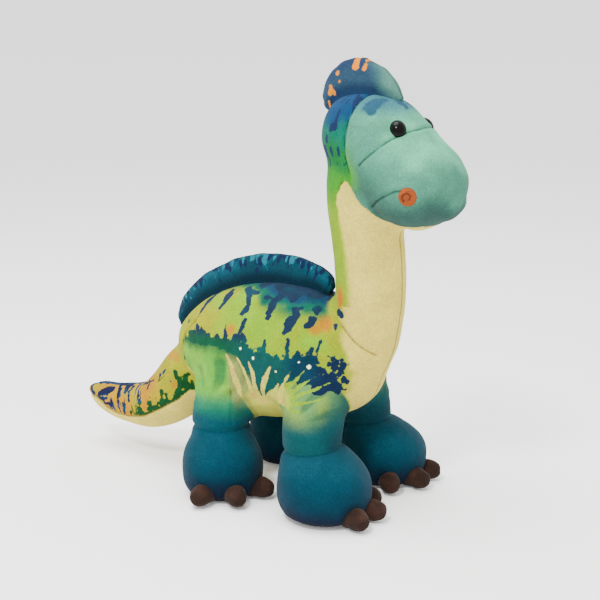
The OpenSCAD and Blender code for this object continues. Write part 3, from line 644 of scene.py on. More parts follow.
n1, n2, n3, n4 = noise(P0, 26, 11), noise(P0, 12, 12), noise(P0, 5, 13), noise(P0, 2.4, 14)
n5 = noise(P0, 1.7, 15)
LIME, CREAM = srgb("#afce48"), srgb("#d6caa0")
col = np.tile(LIME, (len(P0), 1))


def put(c, w):
    global col
    w = np.clip(np.asarray(w, float), 0, 1)
    col = col + (np.asarray(c) - col) * (w[:, None] if w.ndim else w)


ta = np.degrees(np.arctan2(ya / 52.0, (z - 112) / 57.0))     # round the torso: 0 at the back, 90 at the side
# torso sides
put(srgb("#cbdc40"), smooth(-0.3, 0.5, n1 * 0.7 + 0.35 - 0.014 * (x + 20)))
put(srgb("#9fc94e"), smooth(0.0, 0.9, n2 * 0.6 - n1 * 0.5 + 0.25) * 0.55)
put(srgb("#c6d23c"), smooth(52, 74, x) * smooth(0.5, -0.3, n2) * 0.8)
put(srgb("#d2e03c"), smooth(-0.1, 0.5, -n2 - 0.4 * n1) * smooth(40, -10, x) * 0.7)
for st in ORANGE_SPOTS:
    c, r = np.array(st[0][:3]), st[0][3]
    put(srgb("#e0a23a"), 0.8 * (1 - smooth(0.15, 1.0, np.linalg.norm(S3 - c, axis=1) / (r * 1.15))))
be = np.array(BAND_EDGE)
ba = np.degrees(np.arctan2(be[:, 1] / 52.0, (be[:, 2] - 112) / 57.0))
o = np.argsort(be[:, 0])
edge = np.interp(x, be[o, 0], ba[o]) + 5 + 5 * smooth(0, 40, x)
band = 1 - smooth(-8, 8, ta - edge + 6 * n2 + 4 * n3)
band_c = mix(srgb("#14587c"), srgb("#0f8468"), smooth(-19, -5, ta - edge + 7 * n2 + 4 * n3))
band_c = mix(band_c, srgb("#3f9c55"), smooth(-5, 4, ta - edge + 4 * n2) * 0.6)
put(band_c, band * smooth(4.5, 0.5, dT) * (x < 102) * (0.35 + 0.65 * smooth(-30, 0, x)))
# belly
put(CREAM, smooth(111, 118, ta) * smooth(3, 0.5, dT))
# neck
neck_w = smooth(-2.0, 2.0, np.minimum(dT, dL) - dN) * (x > 60)
c_neck = mix(srgb("#abc84a"), srgb("#6cb046"), smooth(228, 262, z + 2 * n2))
c_neck = mix(c_neck, srgb("#bcc64a"), 1 - smooth(150, 185, z))
put(c_neck, neck_w)
e_c = np.interp(z, [95, 150, 172, 200, 230, 256], [84, 84, 82, 78, 73, 71])
e_s = np.interp(z, [95, 150, 200, 230, 250], [9, 12, 8, 4, 1.6])
# head and nape: one drawn edge from the crown down behind the cheek and along the chin
FACE_EDGE = NAPE_SEAM + CREAM_TOP[-3:] + CHIN_SEAM[1:]
face_s = line_side(S3, FACE_EDGE)
top_s = line_side(S3, CREAM_TOP)
cream_w = smooth(-1, 1, (phi - e_c + 1.2 * n3) / e_s) * np.where(z > 243, smooth(0.45, -0.45, top_s), 1)
put(CREAM, neck_w * cream_w * (z < 266))
ce = np.array(CHEST_EDGE)
o = np.argsort(ce[:, 2])
cx_edge = np.interp(z, ce[o, 2], ce[o, 0])
put(CREAM, smooth(-5, 5, x - cx_edge + 1.5 * n3) * (z < 164) * (z > 60) * (dL > 1.5) * (x > 80))
put(srgb("#dd9440"), 0.9 * (1 - smooth(0.25, 1.0, np.hypot(x - 94.5, (z - 171) * 0.5) / 6.5)) * (x < 104) * (ya < 27))
put(srgb("#dd9a40"), 0.5 * (1 - smooth(0.15, 1.0, np.linalg.norm(S3 - [84.6, 28.0, 149.1], axis=1) / 11)))
# tail
tail_w = smooth(-1.5, 1.5, np.minimum(dT, dL) - dA) * (x < -30)
tcol = mix(srgb("#ccd040"), srgb("#d9b44c"), np.clip((-66 - x) / 50, 0, 1))
tcol = mix(tcol, srgb("#c6cf4a"), smooth(-0.1, 0.6, -n2) * 0.6)
tcol = mix(tcol, srgb("#dc9a40"), smooth(0.15, 0.7, n2) * 0.6 * (x < -60))
put(tcol, tail_w)
put(CREAM, np.where((dA < dT + 2) & (dA < dL) & (x < -38), smooth(0.5, -0.5, z - tz), 0))
# legs: light where the fabric fans out, teal towards the ankle
zlow = np.interp(x, np.array(BAND_LOW)[:, 0], np.array(BAND_LOW)[:, 2])
leg_w = smooth(1.2, -1.2, dL - np.minimum(np.minimum(dT, dN), dA) + 0.4) * (z < 116)
upper_w = smooth(1.5, -1.5, z - zlow - 4 - 2 * n3) * (ya > 20) * (x < 34 + 0.3 * (110 - z)) * (x > -46) * (dA > dT) * smooth(4, 1, np.minimum(dT, dL))
lim = 2.5 + np.clip(z - 86, 0, 40) * 1.0
upper_w = upper_w * smooth(lim + 5, lim, dL)
ridge = smooth(-0.1, 0.9, fold_amt)
# pleat grooves at the tops of the legs; used only to darken the leg colour there, painted shade in the folds
groove_shade = smooth(-0.05, -0.7, fold_amt)
light_leg = mix(srgb("#a3c274"), srgb("#8fbb66"), smooth(-0.4, 0.5, n2))
light_leg = mix(light_leg, srgb("#c9c690"), 0.6 * smooth(6, 16, x) * smooth(34, 20, x))
# painted shade in the pleat grooves at the top of the hind leg
light_leg = mix(light_leg, srgb("#3f8f58"), groove_shade * 0.75 * smooth(84, 100, z))
hind_c = mix(srgb("#006a75"), srgb("#0f8078"), smooth(64, 72, z + 2 * n2))
hind_c = mix(hind_c, srgb("#5aa57c"), smooth(68, 82, z + 3 * n2))
hind_c = mix(hind_c, light_leg, smooth(78, 92, z + 3 * n2))
hs = np.array(HIND_SEAM)
o = np.argsort(hs[:, 2])
xs = np.interp(z, hs[o, 2], hs[o, 0])
# past the hind-leg seam the leg's inner panel is olive-cream and darker: partly the panel's own colour, partly painted
# shade on the inner side of the leg
hind_c = mix(hind_c, srgb("#a9a878"), 0.75 * smooth(-0.5, 1.5, x - xs) * smooth(70, 84, z + 2 * n2) * (ya > 30))
fl = mix(srgb("#adbd7c"), srgb("#8fb07c"), smooth(-0.3, 0.6, n2))
# painted shade in the pleat grooves at the top of the front leg
fl = mix(fl, srgb("#3f8060"), groove_shade * 0.6)
fw = smooth(66, 88, z + 3 * n2) * smooth(27, 5, x - FRONT[1] + 0.35 * (84 - z)) * smooth(30, 42, ya)
front_c = mix(srgb("#08505f"), srgb("#116a70"), smooth(-0.5, 0.6, n1))
front_c = mix(front_c, srgb("#3d7c66"), smooth(70, 90, z + 3 * n2) * 0.7)
front_c = mix(front_c, fl, fw)
# below the band its green fades into the light leg colour (print); the pleats push the green further down in their
# grooves, painted shade in the folds
under = (zlow - z) + 4.5 * fold_amt + 2 * n3
light_leg2 = mix(srgb("#14694b"), hind_c, smooth(-3, 10, under))
hind_c = np.where((x < 50)[:, None], light_leg2, hind_c)
belly_near = smooth(4, 14, x) * smooth(62, 50, x) * smooth(99, 92, z + 2 * n2) * (dT < 3) * (ya > 15)
put(srgb("#cbc58e"), belly_near)
hw = np.clip(leg_w + upper_w * (x < 50), 0, 1)
put(np.where(front_zone[:, None], front_c, hind_c), np.where(front_zone, leg_w, hw))
# feet: navy at the sole, teal higher up; the darkening towards the sole is partly the navy fabric and partly painted
# shade under the foot
foot_c = mix(srgb("#04203a"), srgb("#034a60"), smooth(3, 26, z + 4 * n2))
foot_c = mix(foot_c, srgb("#056074"), smooth(18, 50, z + 6 * n1))
put(foot_c, smooth(0.8, -0.8, z - ank) * (dL < 6) * (dL < dA))
# head
# the sage face is painted lighter where the skin faces up (painted light) and darker where it faces down under the
# muzzle and chin (painted shade)
face = mix(srgb("#7fae9c"), srgb("#a3c9b6"), smooth(0.2, 0.95, N0[:, 2] + 0.25 * n2))
face = mix(face, srgb("#4c7a70"), smooth(0.15, -0.7, N0[:, 2] + 0.12 * n2))
face = mix(face, srgb("#5f93a0"), smooth(304, 320, z + 3 * n2) * 0.8)
face_w = smooth(-0.6, 0.6, face_s) * (z > 222) * (np.minimum(dH, dN) < 9) * (dH < dT) * (x > 98)
put(face, face_w)
nape_w = smooth(0.5, -0.5, face_s) * (x < 118) * smooth(250, 264, z + 2 * n2) * np.where(z > 243, smooth(-0.45, 0.45, top_s), 1)
zc = z + 4 * n2 + 3 * n3
nape_c = mix(srgb("#6cb046"), srgb("#3a9a50"), smooth(262, 276, zc))
nape_c = mix(nape_c, srgb("#1f8f78"), smooth(282, 296, zc))
nape_c = mix(nape_c, srgb("#11608f"), smooth(298, 312, zc))
nape_c = mix(nape_c, srgb("#1b6478"), 0.75 * smooth(70, 28, phi + 8 * n2) * smooth(262, 280, z))
put(nape_c, nape_w)
tint = (1 - smooth(1, 13, face_s)) * (1 - smooth(268, 300, z)) * face_w * (x < 124) * smooth(250, 264, z)
put(srgb("#86bd62"), tint * 0.7)
put(CREAM, smooth(0.5, -0.5, face_s) * (x > 108) * (dH < 6) * (z < 262) * (z > 200))
blues = chain(S3, BLUES)
put(srgb("#235f80"), smooth(2.4, -0.6, blues + 2.4 * n3 + 1.6 * n4) * face_w * 0.9)
put(srgb("#4a86a0"), 0.5 * smooth(0.5, 0.95, N0[:, 2]) * smooth(302, 318, z) * face_w * smooth(148, 128, x))

# crisp print 1: dark drips, spikes and the jagged band
edge_n = 1.1 * n3 + 0.8 * n4 + 0.5 * n5
drips = chain(S3, DRIPS, 0.7)
spikes = chain(S3, SPIKES, 0.2)
bt, bl = np.array(BAND_TOP), np.array(BAND_LOW)
ztop = np.interp(x, bt[:, 0], bt[:, 2])
lower = np.maximum(z - ztop + 1.8 * n3 + 2.6 * n4 + 1.0 * n5, zlow - z + 1.4 * n3 + 1.5 * n4 * (x < 40))
lower = np.where(leg_near & (x > 60) & (z < 112), np.minimum(lower, np.maximum(99 - z, FRONT[1] + 2 - x) + 3 * n3 + 4 * n2), lower)
lower = np.maximum(lower, np.maximum(-40 - x, x - 101 + 0.25 * (z - 110)) + 3.5 * n3 + 2 * n4)
lower = np.where((ta < 118) & (dA > dT), lower, 30)
# loose dabs of ink round the band's front end and along its top
ink = np.random.default_rng(5)
dabs = np.full(len(P0), 30.0)
for k in range(64):
    t = ink.random()
    if k < 40:
        c = np.array([84 + 22 * ink.random(), 128 - 30 * ink.random()])
    else:
        c = np.array([-34 + 118 * t, 0.0])
        c[1] = np.interp(c[0], bt[:, 0], bt[:, 2]) + 1.0 + 3.2 * ink.random()
    r = 0.8 + 1.3 * ink.random() ** 2
    dabs = np.minimum(dabs, np.where(ya > 22, np.hypot(x - c[0], (z - c[1]) * (0.75 + 0.2 * ink.random())) - r, 30))
dabs = np.where((dT < 4) | (dN < 4), dabs, 30)
# dark fringe that hangs under the crest
fr_n = noise(np.stack([x, ta * 0.28, 0 * x], 1), 3.4, 81)
fringe = (ta - (edge - 15 + 13 * fr_n + 6 * smooth(-20, -34, x))) * 0.5
fringe = np.where((x < 96) & (dT < dN) & (x > -46), fringe, 30) + 5 * smooth(46, 66, x)
dark = np.minimum(np.minimum(np.minimum(drips + 0.9 * edge_n, spikes + edge_n), lower), np.minimum(dabs, fringe + 0.6 * edge_n))
tn, tg = chain(S3, TAIL_NAVY, 0.35), chain(S3, TAIL_GREEN, 0.5)
topline = np.where((x < -84) & (x > -178), (ya - 4.0 - 3.5 * n3 - 3.2 * n4), 30)
topline = np.where(z > 50, topline, 30)
st_n = noise(np.stack([x * 0.9 + z * 0.35, z * 0.30, 0 * x], 1), 2.1, 82)
streak = np.where((x < -96) & (x > -170) & (z - tz > 1.5), 0.3 - 4.2 * (st_n - 0.10) + 2.0 * smooth(-118, -96, x), 30)
tail_dark = np.minimum(np.minimum(np.minimum(tn + 0.9 * edge_n, tg + 1.2 * edge_n), topline), streak)
lz = z - tz
gr_n = 0.8 * noise(np.stack([x, z, 0 * x], 1), 3.4, 83) + 0.5 * noise(np.stack([x, z, 0 * x], 1), 1.9, 85)
green_low = np.where((x > -112) & (x < -46) & (lz > 0.3), (lz - 5.5 - 9.5 * gr_n) * 0.6, 30)
tail_dark = np.minimum(tail_dark, green_low + 0.6 * edge_n)
tail_dark = np.where((dA < dL) & (dA < dT + 2) & (x < -44) & (lz > 0.2), tail_dark, 30)
dark = np.minimum(np.where(dA < dT, 30, dark), tail_dark)
dark = np.where(neck_w > 0.5, np.where(z < 168, dark, 30), dark)
# streaks down the nape
na = noise(np.stack([phi * 0.5, 0 * x, z * 0.36], 1), 3.4, 84)
nape_dark = 0.2 - 6.0 * (na + 0.22 - phi / 170.0) + 4.0 * smooth(286, 262, z)
nape_dark = np.where((nape_w > 0.5) & (z > 258), nape_dark, 30)
dark = np.where(face_w > 0.5, 30, np.where(z > 240, nape_dark, dark))
c1 = mix(srgb("#0b6a49"), srgb("#0b6c68"), smooth(4, 30, x + 5 * n2))
c1 = mix(c1, srgb("#0a4a60"), smooth(52, 72, x + 4 * n2))
c1 = mix(c1, srgb("#12395c"), smooth(78, 94, x - 0.4 * (z - 110) + 6 * n2))
c1 = mix(c1, srgb("#1d4360"), smooth(128, 136, z + 2 * n2))
c1 = mix(c1, srgb("#1c6f80"), smooth(0.2, 0.8, n2) * smooth(150, 160, z) * 0.7)
c1 = np.where((x < -46)[:, None], np.where(((tg < tn) | (green_low < 1.5))[:, None], srgb("#12632f"), mix(srgb("#1a2f5c"), srgb("#125a86"), smooth(-0.2, 0.5, n3))), c1)
c1 = np.where((z > 240)[:, None], mix(srgb("#1a4a70"), srgb("#1a3f6c"), smooth(280, 310, z)), c1)
# crisp print 2: light fingers and dots over the band
fing = chain(S3, [f_ for f_ in FINGERS if f_[0][0] < 68], -0.45)
# light strokes that fan over the top of the front leg
for a_, l_ in ((4, 30), (16, 38), (27, 43), (38, 40), (50, 33), (63, 26)):
    ca, sa = math.cos(math.radians(a_)), math.sin(math.radians(a_))
    l_ = l_ + 9
    t = np.clip(((x - 50) * ca + (z - 83) * sa), 7, l_)
    d = np.hypot(x - 50 - t * ca, z - 83 - t * sa) - (0.4 + 2.1 * smooth(l_, l_ * 0.3, t))
    fing = np.minimum(fing, np.where((ya > 34) & (x > 48), d + 0.7 * n3, 30))
dots = chain(S3, DOTS)
light = np.minimum(fing + 0.35 * n4, dots)
light = np.where(leg_near & (z < 84), 30, light)
c2 = mix(srgb("#cfc797"), srgb("#d8b490"), smooth(0.2, 0.8, n3) * 0.7)
c2 = mix(c2, srgb("#a9bd5e"), smooth(56, 70, x + 6 * n3))
c2 = mix(c2, srgb("#e4ead8"), smooth(3.5, 1.5, dots))
rest_pos = P0 * MM


def vary(c, k, n):
    return c * (1 + k * n[:, None])


col = np.clip(vary(col, 0.06, n2 + 0.5 * n3), 0, 0.95)
c1 = np.clip(vary(c1, 0.14, n3), 0, 0.95)
FIELDS = {"base": col, "c1": c1, "c2": c2, "dark": dark, "light": light, "seam": seam, "rest_pos": rest_pos}

# ------------------------------------------------------------------ materials


def plush(name, pile=1.0, sheen=0.04):
    m = bpy.data.materials.new(name)
    m.use_nodes = True
    nt = m.node_tree
    nd, ln = nt.nodes, nt.links
    bsdf = nd["Principled BSDF"]
    bsdf.inputs["Roughness"].default_value = 0.92
    bsdf.inputs["Sheen Weight"].default_value = sheen
    bsdf.inputs["Sheen Roughness"].default_value = 0.45
    bsdf.inputs["Specular IOR Level"].default_value = 0.04

    def attr(n):
        a = nd.new("ShaderNodeAttribute")
        a.attribute_name = n
        return a

    pos = attr("rest_pos").outputs["Vector"]

    def tex(scale, detail=3.0, rough=0.6):
        t = nd.new("ShaderNodeTexNoise")
        t.inputs["Scale"].default_value = scale
        t.inputs["Detail"].default_value = detail
        t.inputs["Roughness"].default_value = rough
        ln.new(pos, t.inputs["Vector"])
        return t.outputs["Fac"]

    def math(op, a, b, c=None):
        n = nd.new("ShaderNodeMath")
        n.operation = op
        for k, v in enumerate((a, b, c)):
            if v is None:
                continue
            if isinstance(v, (int, float)):
                n.inputs[k].default_value = v
            else:
                ln.new(v, n.inputs[k])
        return n.outputs[0]

    def remap(v, a, b, lo=0.0, hi=1.0):
        n = nd.new("ShaderNodeMapRange")
        n.interpolation_type = "SMOOTHSTEP"
        n.inputs["From Min"].default_value, n.inputs["From Max"].default_value = a, b
        n.inputs["To Min"].default_value, n.inputs["To Max"].default_value = lo, hi
        ln.new(v, n.inputs["Value"])
        return n.outputs["Result"]

    def mixc(f, a, b, blend="MIX"):
        n = nd.new("ShaderNodeMix")
        n.data_type = "RGBA"
        n.blend_type = blend
        if isinstance(f, (int, float)):
            n.inputs["Factor"].default_value = f
        else:
            ln.new(f, n.inputs["Factor"])
        ln.new(a, n.inputs[6])
        if isinstance(b, tuple):
            n.inputs[7].default_value = b
        else:
            ln.new(b, n.inputs[7])
        return n.outputs[2]

    fuzz = math("SUBTRACT", tex(900, 2), 0.5)
    wob = math("SUBTRACT", tex(420, 2), 0.5)
    jitter = math("ADD", math("MULTIPLY", fuzz, 1.3), math("MULTIPLY", wob, 1.6))
    c = attr("base").outputs["Color"]
    f1 = remap(math("ADD", attr("dark").outputs["Fac"], jitter), 0.28, -0.28)
    c = mixc(f1, c, attr("c1").outputs["Color"])
    f2 = remap(math("ADD", attr("light").outputs["Fac"], jitter), 0.3, -0.3)
    c = mixc(f2, c, attr("c2").outputs["Color"])
    # pile: small light and dark flecks, broader brushed patches
    fleck = remap(tex(1500, 2, 0.7), 0.3, 0.7, 0.80, 1.16)
    fleck = math("MULTIPLY", fleck, remap(tex(480, 2, 0.7), 0.3, 0.7, 0.92, 1.07))
    brush = remap(tex(60, 3, 0.55), 0.3, 0.7, 0.93, 1.07)
    tone = math("MULTIPLY", fleck, brush)
    # colour darkened close to each seam: painted shade in the seam creases
    seam_shade = remap(attr("seam").outputs["Fac"], 0.25, 1.35, 0.42, 1.0)
    tone = math("MULTIPLY", tone, seam_shade)
    comb = nd.new("ShaderNodeCombineColor")
    for k in range(3):
        ln.new(tone, comb.inputs[k])
    c = mixc(1.0, c, comb.outputs[0], "MULTIPLY")
    ln.new(c, bsdf.inputs["Base Color"])
    h = math("ADD", math("MULTIPLY", tex(1300, 3, 0.7), 0.6), math("MULTIPLY", tex(500, 2), 0.4))
    st = remap(attr("seam").outputs["Fac"], 0.0, 0.9, -0.8, 0.0)
    h = math("ADD", h, st)
    b = nd.new("ShaderNodeBump")
    b.inputs["Strength"].default_value = 0.55 * pile
    b.inputs["Distance"].default_value = 0.0009
    ln.new(h, b.inputs["Height"])
    ln.new(b.outputs["Normal"], bsdf.inputs["Normal"])
    return m


PLUSH = plush("printed_plush")


def give_fields(ob, fields):
    me = ob.data
    for k, v in fields.items():
        v = np.asarray(v, float)
        if k == "rest_pos":
            a = me.attributes.new(k, "FLOAT_VECTOR", "POINT")
            a.data.foreach_set("vector", v.astype(np.float32).ravel())
        elif v.ndim == 2:
            a = me.attributes.new(k, "FLOAT_COLOR", "POINT")
            a.data.foreach_set("color", np.hstack([v, np.ones((len(v), 1))]).astype(np.float32).ravel())
        else:
            a = me.attributes.new(k, "FLOAT", "POINT")
            a.data.foreach_set("value", v.astype(np.float32))


def cut_piece(name, faces, normals):
    """A new object from some of the skin's faces, shaded with the whole skin's normals so the cut doesn't show."""
    Q = [skin.F[i] for i in faces]
    used = np.unique(np.concatenate([np.array(q) for q in Q]))
    idx = np.full(len(skin.V), -1)
    idx[used] = np.arange(len(used))
    ob = new_object(name, skin.V[used], [tuple(idx[i] for i in q) for q in Q])
    give_fields(ob, {k: v[used] for k, v in FIELDS.items()})
    for p in ob.data.polygons:
        p.use_smooth = True
    ob.data.normals_split_custom_set_from_vertices([tuple(n) for n in normals[used]])
    ob.data.materials.append(PLUSH)
    return ob


NS = skin.normals()
Qm = skin.V[skin.Q].mean(axis=1)
fp = part[skin.Q[:, 0]]
fx, fy, fz = Qm[:, 0], Qm[:, 1], Qm[:, 2]
ids = np.zeros(len(Qm), int)                           # 0 torso
c_head = 0.69 * fx + 0.73 * fz
c_neckp = 0.885 * fx + 0.467 * fz
c_tail = -0.94 * fx - 0.34 * fz
HB = np.array([NECK[6][0], 0, NECK[6][1]])
ch0 = 0.69 * HB[0] + 0.73 * HB[2]
cn0, ct0 = 133.0 + 0.885 * DX, 8.0 - 0.94 * DX
is_leg_face = (fp >= 4) & (fz < 92)
ids[(c_neckp > cn0) & (fz > 80)] = 2
ids[(c_head > ch0 - 13) & (fz > 200)] = 1
ids[(c_tail > ct0) & (fz < 140)] = 3
for k in range(4):
    ids[is_leg_face & (fp == 4 + k)] = 4 + k
ids[(fz < 50) & (fx > -55) & (fp >= 4)] = fp[(fz < 50) & (fx > -55) & (fp >= 4)]
names = ["torso_skin", "head_skin", "neck_skin", "tail_skin", "front_left_leg_skin", "front_right_leg_skin", "hind_left_leg_skin", "hind_right_leg_skin"]
skins = {}
for k, nm in enumerate(names):
    f = np.where(ids == k)[0]
    if len(f):
        skins[nm] = cut_piece(nm, f, NS)


def node_list(*prefixes):
    return [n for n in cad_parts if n.startswith(prefixes)]


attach(skins["torso_skin"], "torso")
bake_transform(skins["head_skin"])
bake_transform(skins["neck_skin"])
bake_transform(skins["tail_skin"])
for nm, L, s in (("front_left", FRONT, 1), ("front_right", FRONT, -1), ("hind_left", HIND, 1), ("hind_right", HIND, -1)):
    ob = skins[nm + "_leg_skin"]
    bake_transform(ob)
    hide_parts(*[n_ for n_ in node_list(nm) if not n_.endswith("claws")])
for nm, sl, pre in (("torso_skin", "side_plush", ("torso_", "belly_")), ("neck_skin", "neck_plush", ("neck_", "throat_")),
                    ("head_skin", "muzzle_plush", ("crown_", "muzzle_", "chin_", "head_stuffing", "eye_washer")), ("tail_skin", "tail_plush", ("tail_",))):
    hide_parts(*node_list(*pre))

# ------------------------------------------------------------------ crests
BACK_RISE = np.array([[0.115, 4], [0.15, 10], [0.2, 15], [0.28, 19], [0.36, 21], [0.44, 23], [0.52, 23], [0.58, 21], [0.63, 18], [0.67, 14], [0.685, 8]])
BACK_WIDE = np.array([[0.115, 0.55], [0.15, 0.85], [0.22, 1], [0.58, 1], [0.67, 0.85], [0.685, 0.6]])
TOP_RISE = np.array([[0, 8], [0.05, 11], [0.1, 16], [0.15, 23], [0.2, 26], [0.25, 24.5], [0.3, 19], [0.34, 12], [0.365, 6], [0.38, 3]])
TOP_WIDE = np.array([[0, 0.5], [0.05, 0.8], [0.1, 1], [0.25, 1], [0.34, 0.75], [0.365, 0.5], [0.38, 0.35]])


def back_line(S, u):
    s = station(S, u)
    L = np.radians(s[:, 2])
    return np.stack([s[:, 0] - s[:, 4] * np.sin(L), s[:, 1] + s[:, 4] * np.cos(L)], 1)


def crest(name, S, u0, u1, rise, wide, half, nu, nv, seed):
    u = u0 + (u1 - u0) * 0.5 * (1 - np.cos(np.linspace(0, np.pi, nu)))
    p = back_line(S, u)
    t = back_line(S, u + 0.01) - back_line(S, np.maximum(u - 0.01, 0))
    t /= np.linalg.norm(t, axis=1)[:, None]
    nrm_ = np.stack([-t[:, 1], t[:, 0]], 1)
    r = np.interp(u, rise[:, 0], rise[:, 1])
    r = np.convolve(np.pad(r, 3, mode="edge"), np.ones(7) / 7, "valid")
    wd = half * np.interp(u, wide[:, 0], wide[:, 1])
    v = np.radians(np.linspace(-28, 208, nv))
    sv, cv = np.sin(v), np.cos(v)
    G = np.empty((nu, nv, 3))
    H = np.empty((nu, nv))
    for i in range(nu):
        h = np.where(sv >= 0, r[i] * sv, 9 * sv)
        pinch = 1 - 0.16 * np.exp(-((h - 1) / 4.0) ** 2)
        y = wd[i] * np.sign(cv) * np.abs(cv) ** 0.8 * pinch
        G[i, :, 0] = p[i, 0] + nrm_[i, 0] * h
        G[i, :, 2] = p[i, 1] + nrm_[i, 1] * h
        G[i, :, 1] = y
        H[i] = h / max(r[i], 1)
    V = G.reshape(-1, 3)
    F = [(i * nv + j, i * nv + j + 1, (i + 1) * nv + j + 1, (i + 1) * nv + j) for i in range(nu - 1) for j in range(nv - 1)]
    k = len(V)
    V = np.vstack([V, G[0].mean(0), G[-1].mean(0)])
    F += [(k, j + 1, j) for j in range(nv - 1)] + [(k + 1, (nu - 1) * nv + j, (nu - 1) * nv + j + 1) for j in range(nv - 1)]
    F += [(k, 0, nv - 1), (k + 1, (nu - 1) * nv + nv - 1, (nu - 1) * nv)]
    F += [(i * nv, (i + 1) * nv, (i + 1) * nv + nv - 1, i * nv + nv - 1) for i in range(nu - 1)]
    sk = Skin(V, F)
    N = sk.normals()
    if ((sk.V - sk.V.mean(0)) * N).sum() < 0:
        sk.F = [tuple(reversed(f)) for f in F]
        sk.Q = quads(sk.F)
        N = sk.normals()
    hh = np.append(H.ravel(), [H[0].mean(), H[-1].mean()])
    uu = np.append(np.repeat(u, nv), [u0, u1])
    rim = np.abs(sk.V[:, 1])
    d = np.where(hh > 0.4, rim, 50)
    b0_ = sk.V.copy()
    wr = noise(np.stack([uu * 420, hh * 9, sk.V[:, 1] * 0.3], 1), 9, seed)
    sk.V += N * (-0.8 * np.exp(-(d / 1.3) ** 2) + 0.7 * wr * smooth(0.2, 0.9, hh) + 0.4 * noise(sk.V, 14, seed + 1))[:, None]
    return sk, hh, uu, b0_, np.minimum(d, np.where(hh < 0.2, 50, 50))


def crest_object(name, sk, fields, body_name, nodes):
    ob = new_object(name, sk.V, sk.F)
    give_fields(ob, fields)
    for p in ob.data.polygons:
        p.use_smooth = True
    ob.data.materials.append(PLUSH)
    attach(ob, body_name)
    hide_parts(*nodes)
    return ob


sk, hh, uu, r0, sd = crest("back_crest", TORSO, 0.112, 0.685, BACK_RISE, BACK_WIDE, 8.2, 150, 60, 21)
q = fold(r0)
m1, m2, m3 = noise(r0, 16, 31), noise(r0, 6, 32), noise(r0, 3, 33)
along = (uu - 0.11) / 0.58
c = mix(srgb("#06394c"), srgb("#0c5468"), smooth(0.1, 0.55, hh + 0.15 * m1))
c = mix(c, srgb("#17758a"), smooth(-0.1, 0.6, m1 + 0.4 * m2) * smooth(0.35, 0.75, hh) * 0.8)
qc = np.stack([uu * 520, hh * 9, np.sign(r0[:, 1]) * 20], 1)
dabs = noise(qc, 3.0, 34) + 0.4 * noise(qc, 1.6, 36)
dabn = noise(qc, 3.2, 35) + 0.4 * noise(qc, 1.7, 37)
reach = smooth(0.5, 0.92, hh)
light = (0.56 - dabs * 0.9 - 0.42 * reach) * 6 + 60 * (hh < 0.35) + 2.5 * smooth(0.55, 1.0, along)
darkf = (0.60 - dabn * 0.9 - 0.55 * reach) * 6 + 60 * (hh < 0.3)
crest_object("back_crest_skin", sk, {"base": c, "c1": np.tile(srgb("#12345c"), (len(c), 1)), "c2": np.tile(srgb("#3f96a4"), (len(c), 1)),
             "dark": darkf, "light": light, "seam": sd, "rest_pos": r0 * MM}, "torso", node_list("back_crest"))

sk, hh, uu, r0, sd = crest("head_crest", HEAD, 0.0, 0.38, TOP_RISE, TOP_WIDE, 10.2, 110, 60, 41)
m1, m2 = noise(r0, 14, 51), noise(r0, 5, 52)
c = mix(srgb("#1d4a70"), srgb("#3b6680"), smooth(0.0, 0.5, hh + 0.1 * m1))
c = mix(c, srgb("#33567c"), smooth(0.6, 1.0, hh + 0.2 * m1))
g = line_side(r0, GUSSET)
c = mix(c, srgb("#7fa59c"), smooth(-7, 5, g + 3 * m1))
q = r0.copy()
q[:, 1] = 9.0
spots = chain(q, SPOTS)
gd = np.where(hh > 0.1, seg_dist(q[:, [0, 2]], np.array(GUSSET)[:, [0, 2]]), 50)
crest_object("head_crest_skin", sk, {"base": c, "c1": np.tile(srgb("#24406f"), (len(c), 1)), "c2": np.tile(srgb("#e6a860"), (len(c), 1)),
             "dark": np.full(len(c), 30.0), "light": spots + 0.6 * m2, "seam": sd, "rest_pos": r0 * MM}, "head", node_list("head_crest"))

# ------------------------------------------------------------------ claws
skin_tree = BVHTree.FromPolygons([Vector(p) for p in skin.V], [tuple(f) for f in skin.F])


def plain_fields(V, a, b, seed, scale=7):
    n = noise(V, scale, seed)
    c = mix(srgb(a), srgb(b), smooth(-0.6, 0.6, n))
    k = len(V)
    return {"base": c, "c1": c, "c2": c, "dark": np.full(k, 30.0), "light": np.full(k, 30.0), "seam": np.full(k, 30.0), "rest_pos": V * MM}


